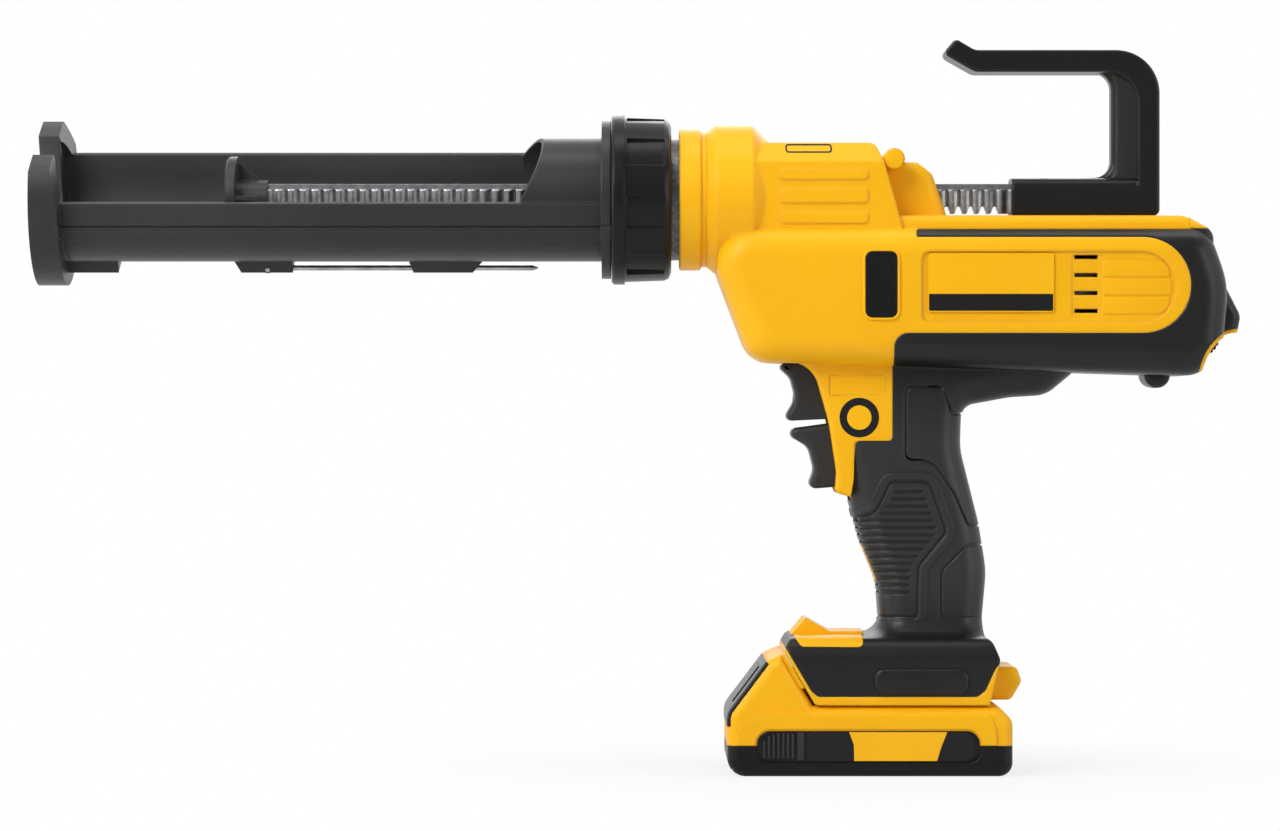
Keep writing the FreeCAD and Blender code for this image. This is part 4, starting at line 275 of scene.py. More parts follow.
@dataclass(frozen=True)
class Metal:
    """Finish of a bare or plated metal surface, with mottled tone and fine tool marks."""

    name: str
    slot: Slot
    tone: str
    shade: str
    roughness: float
    spread: float = 0.08
    metallic: float = 1.0
    mottle_mm: float = 6.0
    mark_mm: float = 0.4
    mark_depth_mm: float = 0.01
    mark_strength: float = 0.3
    stretch: Triple = (1.0, 1.0, 1.0)
    edge_mm: float = 0.3
    flute_mm: float = 0.0
    flute_start_mm: float = 0.0
    flute_top_mm: float = 0.0
    flute_fade_mm: float = 0.4
    flute_depth_mm: float = 0.7

    def flutes(self, tree: Tree, normal: Source) -> Source:
        """Round the flanks between the flutes of a toothed bar.

        Args:
            tree: Node tree of the material.
            normal: Normal without the flutes.

        Returns:
            The node with the fluted normal.
        """
        place = add(tree, "TexCoord").outputs["Object"]
        turn = 2 * math.pi / (self.flute_mm * MM)
        wave = add(tree, "TexWave",
                   {"wave_type": "BANDS", "bands_direction": "X", "wave_profile": "SIN",
                    "Scale": turn / WAVE_TURN, "Phase Offset": -turn * self.flute_start_mm * MM},
                   {"Vector": place})
        height = add(tree, "SeparateXYZ", {}, {0: place}).outputs["Z"]
        top, fade = self.flute_top_mm, self.flute_fade_mm
        under = add(tree, "MapRange", {"From Min": (top + fade) * MM, "From Max": (top - fade) * MM},
                    {"Value": height})
        relief = add(tree, "Math", {"operation": "MULTIPLY"}, {0: wave.outputs["Fac"], 1: under})
        return add(tree, "Bump", {"Strength": 1.0, "Distance": self.flute_depth_mm * MM},
                   {"Height": relief, "Normal": normal})

    def make(self) -> bpy.types.Material:
        """Build the node material of this finish.

        Returns:
            The new material.
        """
        material = new_material(self.name)
        tree = material.node_tree
        place = add(tree, "TexCoord").outputs["Object"]
        drawn = add(tree, "Mapping", {"Scale": self.stretch}, {"Vector": place})
        mottle = add(tree, "TexNoise", {"Scale": per(self.mottle_mm), "Detail": 4.0}, {"Vector": place})
        marks = add(tree, "TexNoise", {"Scale": per(self.mark_mm), "Detail": 2.0}, {"Vector": drawn})
        normal = add(tree, "Bevel", {"samples": EDGE_SAMPLES, "Radius": self.edge_mm * MM})
        tone = add(tree, "ValToRGB", {"ramp": [(0.35, linear(self.shade)), (0.65, linear(self.tone))]},
                   {"Fac": mottle})
        low, high = self.roughness - self.spread, self.roughness + self.spread
        gloss = add(tree, "MapRange", {**NOISE_SPAN, "To Min": low, "To Max": high}, {"Value": marks})
        if self.flute_mm:
            normal = self.flutes(tree, normal)
        relief = add(tree, "Bump", {"Strength": self.mark_strength, "Distance": self.mark_depth_mm * MM},
                     {"Height": marks, "Normal": normal})
        shader = add(tree, "BsdfPrincipled", {"Metallic": self.metallic},
                     {"Base Color": tone, "Roughness": gloss, "Normal": relief})
        add(tree, "OutputMaterial", {}, {"Surface": shader})
        return material


# The third colour of each moulding is painted on its rounded edges: partly wear, partly a painted highlight.
# Moulded ABS blend: a warm yellow with a satin skin and soft highlights.
YELLOW_ABS = Moulding("yellow_moulded_abs", Slot.YELLOW, "#F7B709", "#F4B208", "#FFC93C", 0.44,
                      edge_mm=1.0, grain_mm=0.6, grain_depth_mm=0.012, specular=0.25)
# Large shells of the same blend, with broad soft corners.
SHELL_ABS = replace(YELLOW_ABS, name="yellow_shell_abs", edge_mm=2.0)
# Glass-filled nylon: a deep grey black with an eroded grain that breaks up its highlights.
BLACK_NYLON = Moulding("black_glass_filled_nylon", Slot.BLACK, "#121213", "#0E0E0F", "#262627", 0.34,
                       edge_mm=1.1, specular=0.22)
# Moulded trough: a greyer black, with smooth walls that show long highlights.
TROUGH_NYLON = Moulding("grey_black_nylon", Slot.BLACK, "#303031", "#29292A", "#414142", 0.4, edge_mm=0.8,
                        grain_depth_mm=0.012, specular=0.3)
# The same trough, with inner walls painted lighter grey as painted light falling into the trough.
INNER_LIT_NYLON = replace(TROUGH_NYLON, name="inner_lit_grey_black_nylon", inner_wall_light_tone="#505051", inner_wall_light_axis_mm=250.0)
# Polished handle: the deepest black, with narrow bright edges.
HANDLE_NYLON = Moulding("polished_black_nylon", Slot.BLACK, "#0C0C0D", "#090909", "#202021", 0.33,
                        edge_mm=1.8, grain_depth_mm=0.006, specular=0.4)
# Soft rubber skin: duller than the nylon, with a fine matt grain, and painted greyer in a band of heights as
# a painted highlight.
GRIP_RUBBER = Moulding("soft_grip_rubber", Slot.SOFT, "#141415", "#111112", "#2B2B2C", 0.38, edge_mm=1.6,
                       grain_mm=0.55, grain_depth_mm=0.03, grain_strength=0.3, specular=0.36,
                       band_highlight_tone="#29292A", band_highlight_mm=(70.0, 158.0))
# Printed film: even colour under a thin clear layer.
YELLOW_FILM = Moulding("yellow_label_film", Slot.PLATE, "#F9BA0B", "#F7B709", "#F9BA0B", 0.34, edge_mm=0.15,
                       grain_depth_mm=0.004, worn_lit_edge_share=0.0, specular=0.3)
DARK_FILM = Moulding("dark_label_film", Slot.PLATE, "#1B1B1D", "#18181A", "#222224", 0.3, edge_mm=0.15,
                     grain_depth_mm=0.004, worn_lit_edge_share=0.0, specular=0.25)
# Smoked polycarbonate: a near black window with a hard gloss.
SMOKED_WINDOW = Moulding("smoked_polycarbonate", Slot.WINDOW, "#08090A", "#060707", "#15171A", 0.3,
                         spread=0.03, edge_mm=0.4, grain_depth_mm=0.002, ior=1.58, specular=0.15)
# Zinc-plated steel: cool grey, with fine marks drawn along the bar.
PLATED_STEEL = Metal("zinc_plated_steel", Slot.STEEL, "#B9BABC", "#9C9DA0", 0.34, stretch=(0.15, 1.0, 1.0))
# Phosphated rack steel: grey, with a bright line on each rounded flank between its flutes.
RACK_STEEL = Metal("phosphated_rack_steel", Slot.STEEL, "#9A9B9D", "#7D7E80", 0.38, mottle_mm=4.0,
                   stretch=(0.2, 1.0, 1.0), edge_mm=0.5, flute_mm=5.26, flute_start_mm=-254.07,
                   flute_top_mm=254.2)
# Die-cast zinc: dull grey, mottled by the cooling of the melt.
CAST_ZINC = Metal("die_cast_zinc", Slot.CAST, "#7E7E80", "#58585A", 0.46, mottle_mm=2.5, mark_mm=0.7,
                  mark_depth_mm=0.03)
# Sintered bronze: brown gold, with open pores.
SINTERED_BRONZE = Metal("sintered_bronze", Slot.BRONZE, "#B08A4E", "#8E6A38", 0.45, mark_mm=0.3)
# Sintered ferrite: charcoal, nearly without gloss.
FERRITE = Metal("sintered_ferrite", Slot.MAGNET, "#3A3A3C", "#2C2C2E", 0.6, metallic=0.2)
# Shrink film on the cells: even blue with soft gloss.
CELL_FILM = Moulding("cell_shrink_film", Slot.WRAP, "#2F5F8F", "#295580", "#3F73A6", 0.35)
# Epoxy board: green solder mask over glass cloth.
BOARD_MASK = Moulding("green_solder_mask", Slot.BOARD, "#1F5B34", "#194C2B", "#2E7447", 0.38)
# Silicone wire cover: red brown, soft and dull.
LEAD_COVER = Moulding("silicone_lead_cover", Slot.LEAD, "#7A2320", "#6A1D1B", "#8F302C", 0.55)

Finish = Union[Moulding, Metal]
FINISH_OF_SLOT: dict[Slot, Finish] = {finish.slot: finish for finish in (
    YELLOW_ABS, BLACK_NYLON, GRIP_RUBBER, PLATED_STEEL, CAST_ZINC, SINTERED_BRONZE, YELLOW_FILM, CELL_FILM,
    BOARD_MASK, FERRITE, SMOKED_WINDOW, LEAD_COVER,
)}


@cache
def paint_of(finish: Finish) -> bpy.types.Material:
    """Give the material of a finish, made on first use."""
    return finish.make()


def rounded(corners: Sequence[Corner]) -> list[Point]:
    """Turn corners with radii into a closed run of points.

    Args:
        corners: X, Z and rounding of each corner, in millimetres.

    Returns:
        Points of the outline, counter-clockwise, with each round corner as an arc.
    """
    points: list[Point] = []
    for index, (x, z, radius) in enumerate(corners):
        corner = Vector((x, z))
        back = (Vector(corners[index - 1][:2]) - corner).normalized()
        ahead = (Vector(corners[(index + 1) % len(corners)][:2]) - corner).normalized()
        if radius == 0.0:
            points.append((x, z))
            continue
        half = back.angle(ahead) / 2
        centre = corner + (back + ahead).normalized() * (radius / math.sin(half))
        start = corner + back * (radius / math.tan(half)) - centre
        end = corner + ahead * (radius / math.tan(half)) - centre
        turn = start.angle_signed(end)
        for step in range(ARC_STEPS + 1):
            angle = -turn * step / ARC_STEPS
            cos, sin = math.cos(angle), math.sin(angle)
            out = (start.x * cos - start.y * sin, start.x * sin + start.y * cos)
            points.append((centre.x + out[0], centre.y + out[1]))
    following = points[1:] + points[:1]
    area = sum(a[0] * b[1] - b[0] * a[1] for a, b in zip(points, following))
    return points if area > 0 else points[::-1]


def grown(points: Points, distance: float) -> list[Point]:
    """Move a counter-clockwise outline outwards.

    Args:
        points: Points of the outline.
        distance: Way outwards in millimetres, or inwards where it is negative.

    Returns:
        The moved points.
    """
    moved: list[Point] = []
    for index, point in enumerate(points):
        here = Vector(point)
        along_in = (here - Vector(points[index - 1])).normalized()
        along_out = (Vector(points[(index + 1) % len(points)]) - here).normalized()
        out_in, out_out = Vector((along_in.y, -along_in.x)), Vector((along_out.y, -along_out.x))
        out = (out_in + out_out).normalized()
        reach = distance / max(out.dot(out_in), 0.5)
        moved.append((here.x + out.x * reach, here.y + out.y * reach))
    return moved


def bar(left: float, right: float, low: float, high: float, radius: float) -> list[Point]:
    """Outline of an upright rectangle with round corners."""
    return rounded([(left, low, radius), (right, low, radius), (right, high, radius), (left, high, radius)])


def circle(x: float, z: float, radius: float, count: int = 48) -> list[Point]:
    """Outline of a circle."""
    turns = [2 * math.pi * step / count for step in range(count)]
    return [(x + radius * math.cos(turn), z + radius * math.sin(turn)) for turn in turns]


def select_only(piece: Piece) -> None:
    """Select one object alone and make it active.

    Args:
        piece: Object to select.
    """
    bpy.ops.object.select_all(action="DESELECT")
    piece.select_set(True)
    bpy.context.view_layer.objects.active = piece


@contextmanager
def editing(piece: Piece, action: str = "SELECT") -> Iterator[None]:
    """Open one object in edit mode for as long as a block runs.

    Args:
        piece: Object to open.
        action: SELECT or DESELECT, for the whole of it.
    """
    select_only(piece)
    bpy.ops.object.mode_set(mode="EDIT")
    bpy.ops.mesh.select_all(action=action)
    yield
    bpy.ops.object.mode_set(mode="OBJECT")


def flat_face(name: str, places: Sequence[Vector]) -> Piece:
    """Lay a filled outline.

    Args:
        name: Name of the new object.
        places: Corners of the outline in millimetres.

    Returns:
        The new object, in object mode.
    """
    bpy.ops.object.select_all(action="DESELECT")
    bpy.ops.mesh.primitive_circle_add(vertices=len(places), radius=1.0, fill_type="NGON")
    piece = bpy.context.object
    piece.name = piece.data.name = name
    for vertex, place in zip(piece.data.vertices, places):
        vertex.co = place * MM
    return piece


def prism(name: str, points: Points, low: float, high: float, band: float = 0.0) -> Piece:
    """Extrude an XZ outline between two Y planes, whole or as a closed band.

    Args:
        name: Name of the new object.
        points: Outline in millimetres.
        low: First Y plane.
        high: Second Y plane.
        band: Width of the band along the inner side of the outline, or 0 for the whole of it.

    Returns:
        The new object.
    """
    piece = flat_face(name, [Vector((x, low, z)) for x, z in points])
    if band:
        with editing(piece):
            bpy.ops.mesh.inset(thickness=band * MM, use_even_offset=True)
            bpy.ops.mesh.delete(type="FACE")
    with editing(piece):
        bpy.ops.mesh.extrude_region_move(TRANSFORM_OT_translate={"value": (0.0, (high - low) * MM, 0.0)})
        bpy.ops.mesh.select_all(action="SELECT")
        bpy.ops.mesh.normals_make_consistent(inside=False)
    return piece


def soften(piece: Piece, width: float, segments: int, chosen: Callable[[Vector, Vector], bool]) -> Piece:
    """Bevel the edges whose two ends a test chooses.

    Args:
        piece: Object to change.
        width: Width of the bevel in millimetres.
        segments: Steps across the bevel.
        chosen: Test on the two ends of an edge, in millimetres.

    Returns:
        The same object.
    """
    with editing(piece, "DESELECT"):
        bpy.ops.mesh.select_mode(type="EDGE")
    places = [vertex.co / MM for vertex in piece.data.vertices]
    for edge in piece.data.edges:
        edge.select = chosen(places[edge.vertices[0]], places[edge.vertices[1]])
    bpy.ops.object.mode_set(mode="EDIT")
    bpy.ops.mesh.bevel(offset=width * MM, segments=segments, affect="EDGES")
    bpy.ops.object.mode_set(mode="OBJECT")
    return piece


def round_outer(piece: Piece, width: float, segments: int = 3) -> Piece:
    """Bevel the edges of the face that lies outermost on the left side."""
    outer = min(vertex.co.y for vertex in piece.data.vertices) / MM
    return soften(piece, width, segments, lambda a, b: max(a.y, b.y) < outer + NEAR)


def shape(piece: Piece, kind: str, settings: dict) -> Piece:
    """Add a modifier and apply it at once.

    Args:
        piece: Object to change.
        kind: Type name of the modifier.
        settings: Attributes of the modifier.

    Returns:
        The same object.
    """
    modifier = piece.modifiers.new(kind.lower(), kind)
    for name, value in settings.items():
        setattr(modifier, name, value)
    select_only(piece)
    bpy.ops.object.modifier_apply(modifier=modifier.name)
    return piece


def combine(piece: Piece, tool: Piece, operation: str) -> Piece:
    """Cut, keep or join one object with another and delete the other.

    Args:
        piece: Object to change.
        tool: Object that is used up.
        operation: DIFFERENCE, INTERSECT or UNION.

    Returns:
        The changed object.
    """
    for operand in (piece, tool):
        shape(operand, "TRIANGULATE", {"ngon_method": "BEAUTY"})
    shape(piece, "BOOLEAN", {"operation": operation, "solver": "EXACT", "object": tool})
    bpy.data.objects.remove(tool)
    return piece


def copy_of(node: str, name: str) -> Piece:
    """Copy a CAD node as a new piece with its loose triangles merged.

    Args:
        node: Name of the node.
        name: Name of the new object.

    Returns:
        The new object.
    """
    piece = bpy.data.objects.new(name, frame["nodes"][node].data.copy())
    piece.data.name = name
    bpy.context.collection.objects.link(piece)
    select_only(piece)
    bpy.ops.mesh.customdata_custom_splitnormals_clear()
    with editing(piece):
        bpy.ops.mesh.remove_doubles(threshold=MERGE)
    return piece


def conform(node: str, name: str, stamp: Piece, proud: float) -> Piece:
    """Keep what a stamp, which is used up, cuts from a CAD node's skin, raised by some millimetres."""
    sheet = shape(copy_of(node, name), "DISPLACE", {"strength": proud * MM, "mid_level": 0.0})
    return combine(sheet, stamp, "INTERSECT")


def mirrored(piece: Piece, name: str) -> Piece:
    """Copy a piece to the other side of the middle plane.

    Args:
        piece: Piece on one side.
        name: Name of the copy.

    Returns:
        The copy, with its own mesh.
    """
    twin = piece.copy()
    twin.data = piece.data.copy()
    twin.name = twin.data.name = name
    bpy.context.collection.objects.link(twin)
    with editing(twin):
        bpy.ops.transform.resize(value=(1.0, -1.0, 1.0), center_override=(0.0, 0.0, 0.0))
        bpy.ops.mesh.normals_make_consistent(inside=False)
    return twin


def on_side(tool: Piece, side: Side) -> Piece:
    """Turn a tool made for the left side into one for the given side.

    Args:
        tool: Tool on the left side, used up where the other side is asked for.
        side: Side that is wanted.

    Returns:
        The tool for that side.
    """
    if side is Side.LEFT:
        return tool
    twin = mirrored(tool, f"{tool.name}_twin")
    bpy.data.objects.remove(tool)
    return twin


def paint_nodes(special: dict[str, Finish]) -> None:
    """Give every CAD node the finish of its slot.

    Args:
        special: Finishes of nodes that differ from their slot.
    """
    slots = {part["node"]: Slot(part["material_slot"]) for part in frame["record"]["subparts"]}
    for name, node in frame["nodes"].items():
        finish = special.get(name, FINISH_OF_SLOT[slots[name]])
        for slot in node.material_slots:
            slot.material = paint_of(finish)
        log.info("node %s in %s", name, finish.name)


@dataclass(frozen=True)
class Relief:
    """Raised form, by its height, the depth of its seat and the rounding, and the band where it is a rim."""

    proud: float
    seat: float
    round: float = 0.0
    steps: int = 3
    band: float = 0.0


@dataclass
class Assembly:
    """Sub-assembly of the tool, whose pieces ride one body unless another is named."""

    body: str = "power_unit"

    def fit(self, piece: Piece, finish: Finish, replaces: Sequence[str] = (),
            body: Optional[str] = None) -> None:
        """Give a finished piece its material and body.

        Args:
            piece: Finished mesh object.
            finish: Finish of its surface.
            replaces: CAD nodes that it stands for.
            body: Body that it rides, where that isn't the sub-assembly's own.
        """
        body, slot = body or self.body, finish.slot
        select_only(piece)
        bpy.ops.object.shade_smooth_by_angle(angle=SMOOTH_ANGLE)
        piece.data.materials.clear()
        piece.data.materials.append(paint_of(finish))
        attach(piece, body)
        if replaces:
            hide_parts(*replaces)
        log.info("piece %s on %s", piece.name, body)

    def fit_pair(self, piece: Piece, finish: Finish, replaces: Sequence[str] = ()) -> None:
        """Finish a left piece, with the CAD nodes that it stands for, and its twin on the right side."""
        for part, nodes in ((piece, replaces), (mirrored(piece, piece.name.replace("left", "right")), ())):
            self.fit(part, finish, nodes)

    def raise_pair(self, stem: str, points: Points, face: float, relief: Relief, finish: Finish,
                   replaces: Sequence[str] = ()) -> None:
        """Raise an outline on both sides.

        Args:
            stem: Name that both pieces share.
            points: Outline in millimetres.
            face: Distance of its ground from the middle plane.
            relief: Raised form.
            finish: Finish of both surfaces.
            replaces: CAD nodes that the left piece stands for.
        """
        piece = prism(f"{stem}_left", points, -face - relief.proud, -face + relief.seat, relief.band)
        if relief.round:
            round_outer(piece, relief.round, relief.steps)
        self.fit_pair(piece, finish, replaces)


@dataclass
class Grip(Assembly):
    """Soft skin of the housing, with sunk seams round its pads and a ribbed finger pad."""

    seam: float = 0.85
    seam_depth: float = 0.9
    rib_count: int = 15
    rib_top: float = 122.4
    rib_step: float = 3.13
    rib_groove: float = 1.05
    rib_inset: float = 3.6
    rib_round: float = 0.9
    finger_pad: Outline = (
        (-30.0, 67.4, 0.0), (21.0, 67.8, 2.0), (21.6, 90.0, 8.0), (33.8, 105.0, 4.0), (26.0, 126.6, 3.5),
        (9.6, 126.6, 3.0), (3.0, 113.2, 6.0), (-6.0, 110.2, 0.0), (-30.0, 110.2, 0.0),
    )
    thumb_pad: Outline = (
        (16.2, 136.4, 3.0), (27.5, 136.0, 10.0), (37.0, 122.0, 20.0), (43.4, 107.6, 2.0), (80.0, 107.0, 0.0),
        (80.0, 156.4, 0.0), (36.2, 156.4, 2.5), (32.2, 168.0, 3.5), (16.2, 168.4, 3.5),
    )
    palm_pad: Outline = (
        (31.4, 67.4, 2.5), (80.0, 67.4, 0.0), (80.0, 99.2, 0.0), (42.5, 99.2, 3.0), (31.6, 88.0, 6.0),
    )
    ridge_span: Point = (0.9, 4.4)
    ridge_proud: float = 0.45
    ridge_inner: float = 6.0
    flare_section: Rect = (5.6, 50.2, -19.6, 19.6, 11.4)
    flare_top: float = 68.2
    flare_drop: float = 9.2
    flare_reach: Point = (7.6, 9.5)
    flare_lean: float = -5.4
    flare_steps: int = 8

    def rib_tool(self) -> Piece:
        """Model one tool that cuts all grooves of the finger pad.

        Returns:
            The tool for the left side.
        """
        pad = rounded(self.finger_pad)
        tools = []
        for index in range(self.rib_count):
            z = self.rib_top - index * self.rib_step
            low, high = self.span_at(pad, z)
            half = self.rib_groove / 2
            groove = bar(low, high, z - half, z + half, half * self.rib_round)
            tools.append(prism("groove", groove, -DEEP, 0.0))
        bpy.ops.object.select_all(action="DESELECT")
        for tool in tools:
            tool.select_set(True)
        bpy.context.view_layer.objects.active = tools[0]
        bpy.ops.object.join()
        return tools[0]

    def span_at(self, pad: Points, z: float) -> Point:
        """Find the X range of a groove across the finger pad.

        Args:
            pad: Outline of the pad.
            z: Height of the groove.

        Returns:
            Lowest and highest X, set back from the sides of the pad.
        """
        crossings = []
        for here, there in zip(pad, list(pad[1:]) + [pad[0]]):
            if (here[1] - z) * (there[1] - z) < 0:
                share = (z - here[1]) / (there[1] - here[1])
                crossings.append(here[0] + share * (there[0] - here[0]))
        return min(crossings) + self.rib_inset, max(crossings) - self.rib_inset

    def skin(self, side: Side) -> Piece:
        """Model the skin of one side with its sunk seams and grooves.

        Args:
            side: Side of the skin.

        Returns:
            The new object.
        """
        piece = copy_of(f"overmould_{side.value}", f"grip_skin_{side.value}")
        tools = [
            prism("seam", grown(rounded(outline), self.seam / 2), -DEEP, 0.0, self.seam)
            for outline in (self.finger_pad, self.thumb_pad, self.palm_pad)
        ]
        tools.append(self.rib_tool())
        for tool in tools:
            combine(piece, on_side(tool, side), "DIFFERENCE")
        return piece

    def flare(self) -> Piece:
        """Model the hollow curve in which the grip widens into the foot.

        Returns:
            The new object.
        """
        section = [Vector((x, y, self.flare_top)) for x, y in bar(*self.flare_section)]
        piece = flat_face("grip_flare", section)
        centre = sum(section, Vector()) / len(section)
        half_x, half_y = max(p.x for p in section) - centre.x, max(p.y for p in section) - centre.y
        reach_x, reach_y = self.flare_reach
        before = (0.0, 0.0, 0.0)
        with editing(piece):
            for step in range(1, self.flare_steps + 1):
                turn = math.radians(90.0) * step / self.flare_steps
                out, down = 1.0 - math.cos(turn), self.flare_drop * math.sin(turn)
                now = (reach_x * out, reach_y * out, down)
                lean = self.flare_lean * (now[0] - before[0]) / reach_x * MM
                bpy.ops.mesh.extrude_region_move(
                    TRANSFORM_OT_translate={"value": (lean, 0.0, (before[2] - down) * MM)})
                wider_x = (half_x + now[0]) / (half_x + before[0])
                wider_y = (half_y + now[1]) / (half_y + before[1])
                bpy.ops.transform.resize(value=(wider_x, wider_y, 1.0),
                                         center_override=(centre.x * MM, 0.0, 0.0))
                before = now
            bpy.ops.mesh.select_all(action="SELECT")
            bpy.ops.mesh.normals_make_consistent(inside=False)
        return piece

    def build(self) -> None:
        """Build and finish the skin, its floor and the flare."""
        near, far = self.ridge_span
        for side in Side:
            node = f"overmould_{side.value}"
            floor = shape(copy_of(node, f"grip_floor_{side.value}"), "DISPLACE",
                          {"strength": -self.seam_depth * MM, "mid_level": 0.0})
            self.fit(floor, GRIP_RUBBER)
            self.fit(self.skin(side), GRIP_RUBBER, [node])
            stamp = prism("stamp", grown(rounded(self.finger_pad), far), -DEEP, -self.ridge_inner, far - near)
            ridge = conform(node, f"grip_ridge_{side.value}", on_side(stamp, side), self.ridge_proud)
            self.fit(ridge, GRIP_RUBBER)
        self.fit(self.flare(), GRIP_RUBBER)


@dataclass
class Shell(Assembly):
    """Hard yellow housing with its sunk side panel, rims, plates and bare label places."""

    side_half: float = 34.0
    panel_sink: float = 1.0
    panel: Outline = (
        (22.4, 195.6, 3.5), (131.8, 195.6, 15.2), (131.8, 226.2, 15.2), (22.4, 226.2, 3.5),
    )
    vent_bay: Outline = (
        (86.9, 197.4, 1.0), (100.0, 197.4, 0.5), (100.0, 224.6, 0.5), (86.9, 224.6, 1.0),
    )
    vent_sink: float = 0.4
    ridge_bands: tuple[Outline, ...] = (
        ((100.4, 215.2, 0.5), (129.2, 215.2, 0.8), (129.2, 222.7, 6.2), (100.4, 222.7, 0.5)),
        ((100.4, 207.3, 0.5), (130.0, 207.3, 1.2), (130.0, 214.5, 1.2), (100.4, 214.5, 0.5)),
        ((100.4, 199.1, 0.5), (129.2, 199.1, 6.2), (129.2, 206.6, 0.8), (100.4, 206.6, 0.5)),
    )
    ridge: Relief = Relief(0.45, 0.4, 0.4)
    rim_outline: Rect = (-3.1, 13.0, 196.5, 227.4, 4.2)
    rim: Relief = Relief(0.9, 0.6, 0.3, band=1.1)
    strip: Outline = ((25.4, 200.6, 0.8), (78.9, 200.6, 0.8), (78.9, 207.9, 0.3), (25.4, 207.9, 0.3))
    strip_film: Relief = Relief(0.08, FILM_SEAT)
    tab: Corner = (10.9, 266.6, 4.4)
    tab_span: Point = (-25.6, -10.0)
    tab_round: float = 0.9
    top_frame: Rect = (-36.0, -15.8, 269.4, 273.6, 1.4)
    top_line: float = 0.7
    top_proud: float = 0.12
    top_inner: float = 4.0
    wedge: Rect = (138.6, 152.0, 236.5, 250.0, 0.0)
    wedge_proud: float = 0.12
    wedge_past: float = 0.5
    low_boss: Corner = (126.3, 173.2, 5.7)
    low_boss_side: float = 13.4
    low_boss_round: float = 2.4

    def build(self) -> None:
        """Build and finish both shells and what lies on them."""
        floor = self.side_half - self.panel_sink
        for side in Side:
            node = f"housing_{side.value}"
            piece = copy_of(node, f"shell_{side.value}")
            for outline, depth in ((self.panel, floor), (self.vent_bay, floor - self.vent_sink)):
                tool = prism("sunk", rounded(outline), -self.side_half - CLEAR, -depth)
                combine(piece, on_side(tool, side), "DIFFERENCE")
            self.fit(piece, SHELL_ABS, [node])
        for index, band in enumerate(self.ridge_bands):
            self.raise_pair(f"vent_ridge_{index + 1}", rounded(band), floor, self.ridge, YELLOW_ABS)
        self.raise_pair("button_rim", bar(*self.rim_outline), self.side_half, self.rim, YELLOW_ABS)
        self.labels()
        self.rear()

    def labels(self) -> None:
        """Lay the dark strip on the bare plate and an empty frame on the barrel."""
        plate = -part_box("side_plates")[0][1] / MM
        self.raise_pair("label_strip", rounded(self.strip), plate, self.strip_film, DARK_FILM)
        stamp = prism("stamp", bar(*self.top_frame), -DEEP, -self.top_inner, self.top_line)
        self.fit(conform("housing_left", "barrel_frame", stamp, self.top_proud), DARK_FILM)

    def rear(self) -> None:
        """Round off the screw bosses and run the yellow top to a point over the rear cap."""
        tab = prism("screw_tab", circle(*self.tab), *self.tab_span)
        self.fit(round_outer(tab, self.tab_round, segments=4), YELLOW_ABS)
        for side in Side:
            stamp = on_side(prism("stamp", bar(*self.wedge), -DEEP, self.wedge_past), side)
            sheet = conform(f"overmould_{side.value}", f"top_wedge_{side.value}", stamp, self.wedge_proud)
            self.fit(sheet, SHELL_ABS)
        boss = prism("low_boss", circle(*self.low_boss), -self.low_boss_side, 0.0)
        self.fit(round_outer(boss, self.low_boss_round, segments=6), GRIP_RUBBER)


